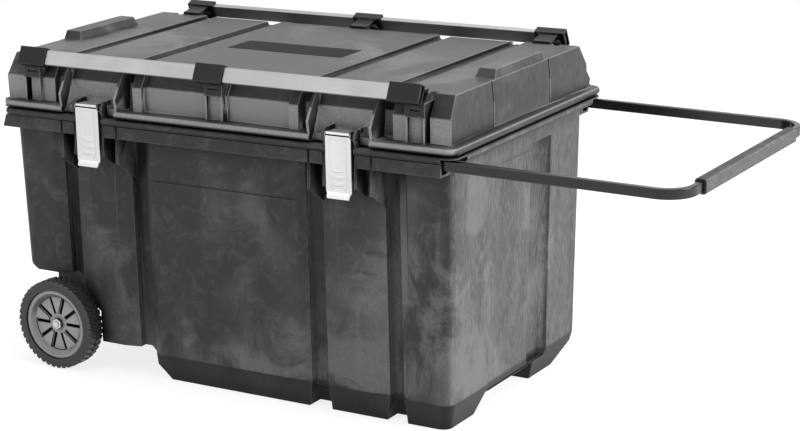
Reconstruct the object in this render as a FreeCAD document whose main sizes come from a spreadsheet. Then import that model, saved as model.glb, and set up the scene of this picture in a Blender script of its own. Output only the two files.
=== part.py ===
import FreeCAD, Part
import os
import re
import Sketcher

# Wheeled storage chest: a drafted plastic tub with a hinged hollow lid, two draw latches, two
# lid rails, a pull-out U handle and two wheels on one axle.
# X runs along the length (the handle end is +X), Y from front to back, Z up.
# The origin is on the floor, under the middle of the tub.

SIZES = [
    # tub walls
    ("tub_length", 910), ("tub_depth", 491), ("sill_end_draft", 11.5), ("sill_side_draft", 5.5),
    ("base_end_draft", 10.5), ("base_side_draft", 8), ("sill_top", 47), ("tub_corner", 18),
    ("wall", 5), ("floor_top", 41),
    # rim where the lid meets the tub
    ("rim_left_lip", 1), ("rim_right_lip", 23), ("rim_side_lip", 33.5), ("rim_corner", 20),
    ("bead_height", 13), ("bead_top", 484), ("lid_gap", 2), ("lid_bead_height", 13),
    # slots and columns in the long walls
    ("slot_depth", 22), ("inner_slot_from", 167), ("inner_slot_to", 200),
    ("outer_slot_from", 323), ("outer_slot_to", 350), ("facet_width", 33), ("facet_depth", 8),
    ("centre_facet", 15), ("end_facet", 19), ("notch_depth", 34), ("notch_margin", 6),
    ("sign_half", 157), ("sign_drop", 28), ("sign_height", 72), ("sign_depth", 2.5),
    # relief in the end walls
    ("end_step_from", -108), ("end_step_to", 48), ("end_step_depth", 4), ("end_step_drop", 41),
    ("end_recess_from", 54), ("end_recess_to", 108), ("end_recess_depth", 14),
    ("end_recess_slope", 10), ("end_recess_low", 33), ("end_recess_drop", 31),
    # feet under the tub
    ("foot_inner", 139), ("foot_height", 32), ("foot_slope", 30), ("back_foot_from", 68),
    ("back_foot_to", 157), ("back_rise", 38), ("back_rise_run", 88), ("pad_half", 55),
    ("pad_slope", 6),
    # wheel wells and axle, measured from the axle
    ("axle_inset", 94), ("axle_radius", 6), ("axle_recess", 10), ("well_left_run", 62),
    ("well_shoulder_run", 15), ("well_right_run", 78), ("well_back_run", 54),
    ("well_step_run", 175), ("well_toe_run", 227), ("well_head_room", 4.6),
    ("well_low_rise", 26.3), ("well_step", 52), ("well_flare", 60), ("well_flare_rise", 40),
    ("well_inner_gap", 48), ("wheel_room", 1.4), ("bearing_width", 44),
    ("bearing_thickness", 12), ("bearing_drop", 48),
    # wheels
    ("tyre_radius", 83.7), ("tyre_width", 38), ("tyre_wall", 18.3), ("wheel_proud", 2),
    ("hub_width", 32), ("hub_inset", 3), ("web_thickness", 8), ("web_inset", 9),
    ("boss_radius", 14), ("felly", 8), ("bore_clearance", 0.08), ("seat_clearance", 0.05),
    ("nut_radius", 11), ("nut_height", 9), ("washer_radius", 15), ("washer_gap", 0.4),
    ("slot_count", 10), ("wheel_slot_width", 5), ("wheel_slot_length", 30),
    # channels that hold the handle
    ("channel_face_inset", 2), ("channel_wall_overlap", 2.5), ("channel_end_inset", 5),
    ("channel_floor", 4), ("channel_roof", 3.5), ("handle_notch_depth", 18),
    # handle
    ("rod_width", 11), ("rod_height", 17.5), ("rod_side_play", 1.8), ("rod_inner_room", 5.2),
    ("rod_head_room", 3.35), ("rod_foot_room", 6.65), ("rod_overlap", 155),
    ("handle_pull", 411), ("bend_radius", 46), ("handle_droop", 0.7), ("grip_end_gap", 23.7),
    ("grip_side", 4.5), ("grip_rise", 3.75), ("stop_length", 12), ("stop_side", 1),
    ("stop_rise", 0.5), ("guide_gap", 2), ("guide_length", 28), ("guide_play", 0.5),
    ("guide_seat", 0.1),
    # latches
    ("latch_x", 260), ("fin_offset", 60.5), ("fin_thickness", 5), ("fin_drop", 80),
    ("fin_taper", 17), ("lever_play", 3), ("cheek_drop", 70), ("cheek_taper", 20),
    ("cheek_rise", 29), ("cheek_depth", 15.5), ("bay_depth", 5.5), ("latch_proud", 3),
    ("lever_half", 25), ("lever_plate", 1.5), ("lever_rise", 17), ("lever_length", 97),
    ("lever_flange", 6), ("lip_drop", 10), ("lip_reach", 6.5), ("pivot_inset", 4),
    ("pivot_radius", 1.8), ("stub_grip", 3), ("claw_pin_rise", 4), ("claw_pin_radius", 1.4),
    ("claw_play", 1), ("strap_inset", 3), ("claw_knuckle", 2.8), ("hook_gap", 3), ("hook_lip", 5),
    ("keeper_rise", 19), ("keeper_proud", 3), ("keeper_half", 24),
    # lid
    ("lid_end_lip", 2.5), ("lid_side_lip", 7.5), ("skirt_rise", 57), ("crown_rise", 36.6),
    ("crown_end_slope", 3.5), ("crown_side_slope", 23.5), ("lid_wall", 5),
    ("bay_bead_reach", 6), ("bay_recess", 10), ("groove_width", 28), ("groove_depth", 8),
    ("inner_groove", 185.5), ("outer_groove", 335), ("groove_front_inset", 1.5),
    ("lid_fin_drop", 21), ("lid_fin_sink", 10.6), ("lid_fin_run", 28), ("panel_from", 24),
    ("panel_to", 152), ("panel_depth", 5), ("strip_width", 20), ("strip_proud", 8),
    ("end_gap_width", 14), ("end_gap_lap", 1), ("end_gap_depth", 12), ("block_length", 52.5),
    ("block_half", 105), ("block_end_slope", 21), ("block_height", 16), ("block_slope", 14),
    ("block_slit", 3), ("post_inset", 10), ("post_half", 18.5), ("post_rib", 5),
    ("post_sink", 11.6), ("tab_slit", 3), ("seal_width", 7), ("seal_height", 6),
    ("seal_side_gap", 0.3), ("badge_length", 240), ("badge_depth", 74),
    ("badge_thickness", 2), ("badge_sink", 1.5),
    # rails
    ("rail_height", 27), ("rail_thickness", 10), ("rail_stand_out", 13.5), ("rail_rise", 3.4),
    ("rail_tilt", 24.6), ("rail_overhang", 25), ("rail_round", 2.5), ("clip_shift", 13),
    ("clip_half", 29.3), ("clip_wall", 3), ("clip_fit", 0.1), ("clip_foot_depth", 7.5),
    ("clip_foot_height", 5), ("clip_arm_half", 18),
    # hinges
    ("hinge_inset", 30), ("hinge_proud", 8), ("hinge_rise", 8), ("knuckle_radius", 7),
    ("knuckle_half", 12), ("ear_thickness", 8), ("hinge_gap", 0.5), ("hinge_pin_radius", 3),
    ("ear_rise", 7), ("hinge_arm_drop", 28),
]

# Lines that follow from the sizes, each named so that everything meeting at it reads one formula.
LINES = {
    # lengths and depths of the tub's levels, and the rim
    "sill_length": "tub_length - 2 * sill_end_draft",
    "sill_depth": "tub_depth - 2 * sill_side_draft",
    "base_length": "sill_length - 2 * base_end_draft",
    "base_depth": "sill_depth - 2 * base_side_draft",
    "rim_left": "tub_length / 2 + rim_left_lip",
    "rim_right": "tub_length / 2 + rim_right_lip",
    "rim_half_depth": "tub_depth / 2 + rim_side_lip",
    "bead_bottom": "bead_top - bead_height",
    "sign_to": "bead_bottom - sign_drop",
    "sign_from": "sign_to - sign_height",
    "end_step_top": "bead_bottom - end_step_drop",
    "end_recess_high": "bead_bottom - end_recess_drop",
    "back_rise_at": "back_foot_to + back_rise_run",
    # wheels, from the rim inwards, and the wells over them
    "axle_x": "axle_inset - tub_length / 2",
    "axle_z": "tyre_radius",
    "rim_radius": "tyre_radius - tyre_wall",
    "wheel_outer": "rim_half_depth + wheel_proud",
    "wheel_inner": "wheel_outer - tyre_width",
    "axle_half_length": "wheel_outer - axle_recess",
    "well_side": "wheel_inner - well_inner_gap",
    "well_left": "well_left_run - axle_x",
    "well_shoulder": "-axle_x - well_shoulder_run",
    "well_right": "-axle_x - well_right_run",
    "well_back": "well_back_run - axle_x",
    "well_run": "-axle_x - well_step_run",
    "well_toe": "-axle_x - well_toe_run",
    "well_top": "axle_z + tyre_radius + well_head_room",
    "well_low": "axle_z + well_low_rise",
    # handle rods, and the channels around them
    "channel_face": "rim_half_depth - channel_face_inset",
    "channel_inner": "tub_depth / 2 - channel_wall_overlap",
    "channel_end": "tub_length / 2 - channel_end_inset",
    "passage_to": "channel_face - wall",
    "rod_y": "passage_to - rod_width / 2 - rod_side_play",
    "passage_from": "rod_y - rod_width / 2 - rod_inner_room",
    "handle_notch_from": "passage_from - handle_notch_depth",
    "passage_top": "bead_top - channel_roof",
    "rod_z": "passage_top - rod_height / 2 - rod_head_room",
    "passage_bottom": "rod_z - rod_height / 2 - rod_foot_room",
    "channel_bottom": "passage_bottom - channel_floor",
    "mouth_x": "tub_length / 2",
    "rod_inner": "mouth_x - rod_overlap",
    "handle_reach": "mouth_x + handle_pull",
    "grip_half_length": "rod_y - bend_radius - grip_end_gap",
    "grip_width": "rod_width + 2 * grip_side",
    "grip_height": "rod_height + 2 * grip_rise",
    "stop_width": "rod_width + 2 * stop_side",
    "stop_height": "rod_height + 2 * stop_rise",
    # latches, from the rim's face and the bead's top
    "fin_foot": "bead_top - fin_drop",
    "cheek_inner": "lever_half + lever_play",
    "cheek_foot": "bead_top - cheek_drop",
    "cheek_top": "bead_top + cheek_rise",
    "bay_face": "rim_half_depth - bay_depth",
    "latch_face": "rim_half_depth + latch_proud",
    "lever_top": "bead_top + lever_rise",
    "lever_bottom": "lever_top - lever_length",
    "pivot_y": "latch_face - pivot_inset",
    "pivot_z": "lever_top - pivot_inset",
    "stub_reach": "lever_half - stub_grip",
    "claw_pin_y": "latch_face - claw_knuckle",
    "claw_pin_z": "lever_top + claw_pin_rise",
    "keeper_top": "bead_top + keeper_rise",
    "keeper_face": "lid_depth / 2 + keeper_proud",
    "hook_reach": "keeper_face + hook_gap",
    # lid
    "lid_length": "tub_length + 2 * lid_end_lip",
    "lid_depth": "tub_depth + 2 * lid_side_lip",
    "lid_break": "bead_top + skirt_rise",
    "lid_top": "lid_break + crown_rise",
    "lid_top_length": "lid_length - 2 * crown_end_slope",
    "lid_top_depth": "lid_depth - 2 * crown_side_slope",
    "bay_bead": "keeper_face + bay_bead_reach",
    "groove_front": "lid_top_depth / 2 - groove_front_inset",
    "lid_fin_shoulder": "lid_break - lid_fin_drop",
    "lid_fin_top": "lid_top - lid_fin_sink",
    "strip_face": "lid_depth / 2 + strip_proud",
    "block_inner": "lid_length / 2 - block_length",
    "block_top_half": "block_half - block_end_slope",
    "end_gap_from": "block_inner - end_gap_lap",
    "end_gap_to": "end_gap_from + end_gap_width",
    "post_spread": "block_inner - post_inset",
    "post_top": "lid_top - post_sink",
    "tab_bottom": "lid_break",
    # rails and hinges
    "rail_y": "lid_depth / 2 + rail_stand_out",
    "rail_z": "lid_top + rail_rise",
    "clip_x": "post_spread - clip_shift",
    "clip_foot": "lid_top_depth / 2 - clip_foot_depth",
    "hinge_x": "tub_length / 2 - hinge_inset",
    "hinge_y": "rim_half_depth + hinge_proud",
    "hinge_z": "bead_top + hinge_rise",
    "ear_top": "lid_break + ear_rise",
    "hinge_arm_bottom": "bead_top - hinge_arm_drop",
}

NAMES = {alias for alias, value in SIZES}

doc = FreeCAD.newDocument("storage_chest")
sheet = doc.addObject("Spreadsheet::Sheet", "Sizes")
for row, (alias, value) in enumerate(SIZES, start=1):
    sheet.set(f"A{row}", alias)
    sheet.set(f"B{row}", str(value))
    sheet.setAlias(f"B{row}", alias)
doc.recompute()

NODES = []


def formula(text):
    """Point every size named in the text at its cell, with each line written out by its sizes."""
    def cell(word):
        if word[0] in LINES:
            return f"({formula(LINES[word[0]])})"
        return "Sizes." + word[0] if word[0] in NAMES else word[0]
    return re.sub(r"[a-z_]+", cell, str(text))


def size(alias):
    return float(sheet.get(alias))


def bind(thing, **formulas):
    for path, text in formulas.items():
        thing.setExpression(path.replace("_at_", "Placement.Base."), formula(text))


def node(label, thing):
    """Name the finished sub-part and keep it for writing."""
    thing.Label = label
    NODES.append(thing)
    return thing


def span(side, near, far):
    """Lowest and highest coordinate of a stretch, mirrored when side is -1."""
    return (near, far) if side > 0 else (f"-({far})", f"-({near})")


def box(name, x_span, y_span, z_span):
    thing = doc.addObject("Part::Box", name)
    bind(thing, Length=f"({x_span[1]}) - ({x_span[0]})", Width=f"({y_span[1]}) - ({y_span[0]})",
         Height=f"({z_span[1]}) - ({z_span[0]})", _at_x=x_span[0], _at_y=y_span[0], _at_z=z_span[0])
    return thing


def frustum(name, low, high, z_span):
    """Four-sided block whose foot and head are each (x from, x to, y from, y to)."""
    thing = doc.addObject("Part::Wedge", name)
    thing.Placement.Rotation = FreeCAD.Rotation(FreeCAD.Vector(1, 0, 0), 90)
    bind(thing, Xmin=low[0], Xmax=low[1], Zmin=f"-({low[3]})", Zmax=f"-({low[2]})",
         X2min=high[0], X2max=high[1], Z2min=f"-({high[3]})", Z2max=f"-({high[2]})",
         Ymin=z_span[0], Ymax=z_span[1])
    return thing


TURNS = {"X": ((0, 1, 0), 90), "Y": ((1, 0, 0), -90), "Z": ((0, 0, 1), 0)}


def rod(name, axis, start, length, radius):
    """Cylinder from the start point along an axis."""
    thing = doc.addObject("Part::Cylinder", name)
    direction, angle = TURNS[axis]
    thing.Placement.Rotation = FreeCAD.Rotation(FreeCAD.Vector(*direction), angle)
    bind(thing, Radius=radius, Height=length, _at_x=start[0], _at_y=start[1], _at_z=start[2])
    return thing


def profile(name, plane, points, stretch):
    """Polygon on a base plane, padded over the stretch of the third axis."""
    body = doc.addObject("PartDesign::Body", name)
    sketch = body.newObject("Sketcher::SketchObject", name + "_sketch")
    face = next(item for item in body.Origin.OriginFeatures if item.Role == plane + "_Plane")
    sketch.AttachmentSupport = [(face, "")]
    sketch.MapMode = "FlatFace"
    count = len(points)
    for index in range(count):
        here = FreeCAD.Vector(index, index * index, 0)
        after = (index + 1) % count
        there = FreeCAD.Vector(after, after * after, 0)
        sketch.addGeometry(Part.LineSegment(here, there))
    for index in range(count):
        sketch.addConstraint(Sketcher.Constraint("Coincident", index, 2, (index + 1) % count, 1))
    for index, point in enumerate(points):
        for kind, value in (("DistanceX", point[0]), ("DistanceY", point[1])):
            start = index if kind == "DistanceX" else index * index
            key = sketch.addConstraint(Sketcher.Constraint(kind, -1, 1, index, 1, float(start)))
            sketch.renameConstraint(key, f"{kind}_{index}")
            sketch.setExpression(f"Constraints.{kind}_{index}", formula(value))
    pad = body.newObject("PartDesign::Pad", name + "_pad")
    pad.Profile = sketch
    pad.Reversed = plane == "XZ"
    bind(pad, Length=f"({stretch[1]}) - ({stretch[0]})")
    third = {"XY": "_at_z", "YZ": "_at_x", "XZ": "_at_y"}[plane]
    bind(body, **{third: stretch[0]})
    return body


def fuse(name, things):
    thing = doc.addObject("Part::MultiFuse", name)
    thing.Shapes = things
    return thing


def cut(name, base, tools):
    thing = doc.addObject("Part::Cut", name)
    thing.Base = base
    thing.Tool = tools[0] if len(tools) == 1 else fuse(name + "_tools", tools)
    return thing


def rounded(name, base, direction, radius):
    """Fillet the straight edges that run along a direction."""
    doc.recompute()
    along = FreeCAD.Vector(*direction)
    edges = []
    for index, edge in enumerate(base.Shape.Edges, start=1):
        run = edge.Vertexes[-1].Point - edge.Vertexes[0].Point
        if run.Length > 0 and abs(run.dot(along)) > 0.9 * run.Length:
            edges.append((index, size(radius), size(radius)))
    thing = doc.addObject("Part::Fillet", name)
    thing.Base = base
    thing.Edges = edges
    return thing


def disc(name, side, near, far, radius):
    """Disc on the axle line, between two distances from the middle of the box."""
    face_name, face = side
    low = span(face, near, far)[0]
    return rod(f"{name}_{face_name}", "Y", ("axle_x", low, "axle_z"), f"({far}) - ({near})", radius)


SIDES = (("left", -1), ("right", 1))
FACES = (("front", -1), ("back", 1))
LONG_DRAFT = "atan((tub_depth - sill_depth) / 2 / (bead_top - sill_top))"
END_DRAFT = "atan((tub_length - sill_length) / 2 / (bead_top - sill_top))"
LID_BOTTOM = "bead_top + lid_gap"
LID_FLOOR = "bead_top + lid_gap + lid_bead_height"
PIN_REACH = "(knuckle_half + hinge_gap + ear_thickness)"


def well(name, grow, y_span, inner):
    """Wheel well seen from the front, grown by a wall thickness for the cavity's copy."""
    top = f"well_top + {grow}"
    low = f"well_low + {grow}"
    right = f"-well_right + {grow}"
    corner = [("-tub_length", "-tub_length"), ("-tub_length", f"{top} + well_flare_rise"),
              ("-well_left - well_flare", f"{top} + well_flare_rise"), (f"-well_left + {grow} / 2", top)]
    if inner:
        roof = [(f"-well_back + {grow}", top), (f"-well_back + {grow}", low), (right, low)]
    else:
        roof = [("-well_shoulder", top), (right, low)]
    toe = [(right, f"well_step + {grow}"), (f"-well_run + {grow} / 2", f"well_step + {grow}"),
           (f"-well_toe + {grow}", "0"), (f"-well_toe + {grow}", "-tub_length")]
    return profile(name, "XZ", corner + roof + toe, y_span)


def wall_cutter(name, face, side, points, low, high):
    """Upright cutter that leans with the long wall; points are (x, depth into the wall)."""
    spots = [(f"{side}*({x})", f"{-face}*({depth})") for x, depth in points]
    cutter = profile(name, "XY", spots, (low, high))
    cutter.Placement.Rotation = FreeCAD.Rotation(FreeCAD.Vector(1, 0, 0), 1)
    lean = f"(({low}) - sill_top) * (tub_depth - sill_depth) / 2 / (bead_top - sill_top)"
    cutter.setExpression("Placement.Rotation.Angle", formula(f"{-face} * {LONG_DRAFT}"))
    bind(cutter, _at_y=f"{face} * (sill_depth / 2 + {lean})")
    return cutter


def end_cutter(name, side, points, low, high):
    """Upright cutter that leans with the end wall; points are (y, depth into the wall)."""
    spots = [(f"{-side}*({depth})", y) for y, depth in points]
    cutter = profile(name, "XY", spots, (low, high))
    cutter.Placement.Rotation = FreeCAD.Rotation(FreeCAD.Vector(0, 1, 0), 1)
    lean = f"(({low}) - sill_top) * (tub_length - sill_length) / 2 / (bead_top - sill_top)"
    cutter.setExpression("Placement.Rotation.Angle", formula(f"{side} * {END_DRAFT}"))
    bind(cutter, _at_x=f"{side} * (sill_length / 2 + {lean})")
    return cutter


def build_tub():
    """Moulded tub: drafted walls with columns, rim, handle channels, latch fins and hinge lugs."""
    low = ("-sill_length / 2", "sill_length / 2", "-sill_depth / 2", "sill_depth / 2")
    high = ("-tub_length / 2", "tub_length / 2", "-tub_depth / 2", "tub_depth / 2")
    base = ("-base_length / 2", "base_length / 2", "-base_depth / 2", "base_depth / 2")
    walls = rounded("tub_walls", frustum("tub_block", low, high, ("sill_top", "bead_top")),
                    (0, 0, 1), "tub_corner")
    sill = rounded("tub_sill", frustum("sill_block", base, low, ("0", "sill_top")),
                   (0, 0, 1), "tub_corner")
    relief = []
    for face_name, face in FACES:
        for side_name, side in SIDES:
            tag = f"{face_name}_{side_name}"
            inner = [("inner_slot_from - centre_facet", "0"), ("inner_slot_from", "facet_depth"),
                     ("inner_slot_from", "slot_depth"), ("inner_slot_to", "slot_depth"),
                     ("inner_slot_to", "facet_depth"), ("inner_slot_to + facet_width", "0"),
                     ("inner_slot_to + facet_width", "-slot_depth"),
                     ("inner_slot_from - centre_facet", "-slot_depth")]
            outer = [("outer_slot_from - facet_width", "0"), ("outer_slot_from", "facet_depth"),
                     ("outer_slot_from", "slot_depth"), ("outer_slot_to", "slot_depth"),
                     ("outer_slot_to", "facet_depth"), ("outer_slot_to + end_facet", "0"),
                     ("outer_slot_to + end_facet", "-slot_depth"),
                     ("outer_slot_from - facet_width", "-slot_depth")]
            relief.append(wall_cutter(f"inner_slot_{tag}", face, side, inner,
                                      "sill_top", "bead_bottom"))
            relief.append(wall_cutter(f"outer_slot_{tag}", face, side, outer,
                                      "sill_top", "bead_bottom"))
            for part, x_from, x_to in (("inner", "inner_slot_from", "inner_slot_to"),
                                       ("outer", "outer_slot_from", "outer_slot_to")):
                stretch = span(side, f"{x_from} - notch_margin", f"{x_to} + notch_margin")
                relief.append(box(f"notch_{part}_{tag}", stretch,
                                  span(face, "sill_depth / 2 - slot_depth", "tub_depth"),
                                  ("-wall", "sill_top")))
                relief.append(box(f"notch_foot_{part}_{tag}", stretch,
                                  span(face, "base_depth / 2 - notch_depth", "tub_depth"),
                                  ("-wall", "floor_top - wall")))
        sign_box = [("-sign_half", "-wall"), ("sign_half", "-wall"),
                    ("sign_half", "sign_depth"), ("-sign_half", "sign_depth")]
        relief.append(wall_cutter(f"sign_{face_name}", face, 1, sign_box, "sign_from", "sign_to"))
        relief.append(well(f"well_{face_name}", "0", span(face, "well_side", "tub_depth"), False))
        relief.append(disc("wheel_room", (face_name, face), "wheel_inner - wheel_room", "tub_depth",
                           "tyre_radius + well_head_room"))
    relief.append(well("well_middle", "0", ("-well_side - wall", "well_side + wall"), True))
    for side_name, side in SIDES:
        step = [("end_step_from", "0"), ("end_step_from + end_recess_slope", "end_step_depth"),
                ("end_step_to", "end_step_depth"), ("end_step_to", "-wall"),
                ("end_step_from", "-wall")]
        recess = [("end_recess_from - end_recess_slope", "0"),
                  ("end_recess_from", "end_recess_depth"), ("end_recess_to", "end_recess_depth"),
                  ("end_recess_to + end_recess_slope", "0"),
                  ("end_recess_to + end_recess_slope", "-wall"),
                  ("end_recess_from - end_recess_slope", "-wall")]
        relief.append(end_cutter(f"end_step_{side_name}", side, step, "foot_height",
                                 "end_step_top"))
        relief.append(end_cutter(f"end_recess_{side_name}", side, recess, "end_recess_low",
                                 "end_recess_high"))
    between = [("-foot_inner", "-wall"), ("-foot_inner", "0"),
               ("-foot_inner + foot_slope", "foot_height"), ("back_foot_from", "foot_height"),
               ("back_foot_from", "-wall")]
    behind = [("back_foot_to", "-wall"), ("back_foot_to", "0"), ("back_rise_at", "back_rise"),
              ("tub_depth", "back_rise"), ("tub_depth", "-wall")]
    for name, points in (("between_feet", between), ("behind_feet", behind)):
        relief.append(profile(name, "YZ", points, ("-tub_length", "tub_length")))
    shell = cut("tub_outside", fuse("tub_mass", [walls, sill]), relief)

    flange = box("rim_box", ("-rim_left", "rim_right"), ("-rim_half_depth", "rim_half_depth"),
                 ("bead_bottom", "bead_top"))
    pieces = [shell, rounded("rim", flange, (0, 0, 1), "rim_corner")]
    fin_profile = [("tub_depth / 2 - slot_depth - wall / 2", "fin_foot - fin_taper - slot_depth"),
                   ("tub_depth / 2 - slot_depth", "fin_foot - fin_taper - slot_depth"),
                   ("rim_half_depth", "fin_foot"), ("rim_half_depth", "bead_top"),
                   ("tub_depth / 2 - slot_depth - wall / 2", "bead_top")]
    cheek = [("tub_depth / 2 - wall", "cheek_foot - cheek_taper"),
             ("tub_depth / 2", "cheek_foot - cheek_taper"),
             ("rim_half_depth", "cheek_foot"), ("rim_half_depth", "cheek_top - cheek_depth / 2"),
             ("rim_half_depth - cheek_depth / 2", "cheek_top"),
             ("rim_half_depth - cheek_depth", "cheek_top"),
             ("rim_half_depth - cheek_depth", "bead_bottom"),
             ("tub_depth / 2 - wall", "bead_bottom")]
    for face_name, face in FACES:
        pieces.append(box(f"channel_{face_name}", ("-rim_left", "channel_end"),
                          span(face, "channel_inner", "channel_face"),
                          ("channel_bottom", "bead_bottom")))
        for side_name, side in SIDES:
            for part, offset in (("inner", "- fin_offset"), ("outer", "+ fin_offset")):
                middle = f"latch_x {offset}"
                spots = [(f"{face}*({y})", z) for y, z in fin_profile]
                pieces.append(profile(f"fin_{part}_{face_name}_{side_name}", "YZ", spots,
                                      span(side, f"{middle} - fin_thickness / 2",
                                           f"{middle} + fin_thickness / 2")))
    for side_name, side in SIDES:
        for part, flip in (("inner", -1), ("outer", 1)):
            near, far = span(flip, "cheek_inner", "cheek_inner + fin_thickness")
            spots = [(f"-({y})", z) for y, z in cheek]
            pieces.append(profile(f"cheek_{part}_{side_name}", "YZ", spots,
                                  (f"{side} * latch_x + {near}", f"{side} * latch_x + {far}")))
        lug = [("channel_face - wall", "hinge_arm_bottom"),
               ("hinge_y", "hinge_arm_bottom"), ("hinge_y + knuckle_radius", "hinge_z - wall"),
               ("hinge_y + knuckle_radius", "hinge_z"), ("hinge_y - knuckle_radius", "hinge_z"),
               ("hinge_y - knuckle_radius", "bead_top"), ("channel_face - wall", "bead_top")]
        middle = f"{side} * hinge_x"
        stretch = (f"{middle} - knuckle_half", f"{middle} + knuckle_half")
        pieces.append(profile(f"hinge_lug_{side_name}", "YZ", lug, stretch))
        pieces.append(rod(f"hinge_knuckle_{side_name}", "X", (stretch[0], "hinge_y", "hinge_z"),
                          "2 * knuckle_half", "knuckle_radius"))
    for face_name, face in FACES:
        pieces.append(box(f"bearing_{face_name}",
                          ("axle_x - bearing_width / 2", "axle_x + bearing_width / 2"),
                          span(face, "well_side - bearing_thickness", "well_side"),
                          ("well_low - bearing_drop", "well_low + wall / 2")))
    pad_head = "pad_half + pad_slope"
    pieces.append(frustum("centre_pad", ("-pad_half", "pad_half", "-pad_half", "pad_half"),
                          (f"-({pad_head})", pad_head, f"-({pad_head})", pad_head),
                          ("0", "foot_height + wall / 2")))
    solid = fuse("tub_solid", pieces)

    inset = "(end_recess_depth + wall)"
    sunk = "(slot_depth + wall)"
    low_in = (f"-sill_length / 2 + {inset}", f"sill_length / 2 - {inset}",
              f"-sill_depth / 2 + {sunk}", f"sill_depth / 2 - {sunk}")
    high_in = (f"-tub_length / 2 + {inset}", f"tub_length / 2 - {inset}",
               f"-tub_depth / 2 + {sunk}", f"tub_depth / 2 - {sunk}")
    rooms = [frustum("cavity_block", low_in, high_in, ("floor_top", "bead_top + wall"))]
    for face_name, face in FACES:
        for part, x_from, x_to in (("centre", "-inner_slot_from + centre_facet",
                                    "inner_slot_from - centre_facet"),
                                   ("left", "-outer_slot_from + facet_width",
                                    "-inner_slot_to - facet_width"),
                                   ("right", "inner_slot_to + facet_width",
                                    "outer_slot_from - facet_width")):
            rooms.append(box(f"room_{part}_{face_name}", (x_from, x_to),
                             span(face, "sill_depth / 2 - slot_depth - 2 * wall",
                                  "sill_depth / 2 - wall - sign_depth"),
                             ("floor_top + wall", "bead_top + wall")))
    for side_name, side in SIDES:
        for part, y_from, y_to in (
                ("front", f"-sill_depth / 2 + {sunk}", "end_recess_from - end_recess_slope - wall"),
                ("back", "end_recess_to + end_recess_slope + wall", f"sill_depth / 2 - {sunk}")):
            rooms.append(box(f"room_end_{part}_{side_name}",
                             span(side, f"sill_length / 2 - {inset} - wall",
                                  "sill_length / 2 - end_step_depth - wall"),
                             (y_from, y_to), ("floor_top + wall", "bead_top + wall")))
    kept = [well(f"floor_over_{face_name}", "wall", span(face, "well_side - wall", "tub_depth"),
                 False) for face_name, face in FACES]
    kept.append(well("floor_over_axle", "wall", ("-well_side", "well_side"), True))
    removed = [cut("cavity", fuse("cavity_rooms", rooms), kept)]
    for face_name, face in FACES:
        removed.append(box(f"passage_{face_name}", ("-rim_left + wall", "rim_right + wall"),
                           span(face, "passage_from", "passage_to"),
                           ("passage_bottom", "passage_top")))
        removed.append(box(f"handle_notch_{face_name}", ("channel_end", "rim_right + wall"),
                           span(face, "handle_notch_from", "rim_half_depth + wall"),
                           ("channel_bottom - wall", "passage_top")))
    for side_name, side in SIDES:
        removed.append(box(f"latch_recess_{side_name}",
                           (f"{side} * latch_x - cheek_inner", f"{side} * latch_x + cheek_inner"),
                           ("-rim_half_depth - wall", "-bay_face"),
                           ("cheek_foot - wall", "cheek_top + wall")))
        removed.append(rod(f"pivot_hole_{side_name}", "X",
                           (f"{side} * latch_x - cheek_inner - 2 * fin_thickness", "-pivot_y",
                            "pivot_z"), "2 * (cheek_inner + 2 * fin_thickness)", "pivot_radius"))
        removed.append(rod(f"hinge_hole_{side_name}", "X",
                           (f"{side} * hinge_x - knuckle_half - wall", "hinge_y", "hinge_z"),
                           "2 * (knuckle_half + wall)", "hinge_pin_radius"))
    removed.append(rod("axle_hole", "Y", ("axle_x", "-well_side - wall", "axle_z"),
                       "2 * (well_side + wall)", "axle_radius + seat_clearance"))
    node("tub", cut("tub_body", solid, removed))


def lid_rib(name, points, middle, half, face):
    """Upright rib on the lid's long wall, drawn for the back and mirrored to the front."""
    spots = [(f"{face}*({y})", z) for y, z in points]
    return profile(name, "YZ", spots, (f"{middle} - ({half})", f"{middle} + ({half})"))


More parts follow.
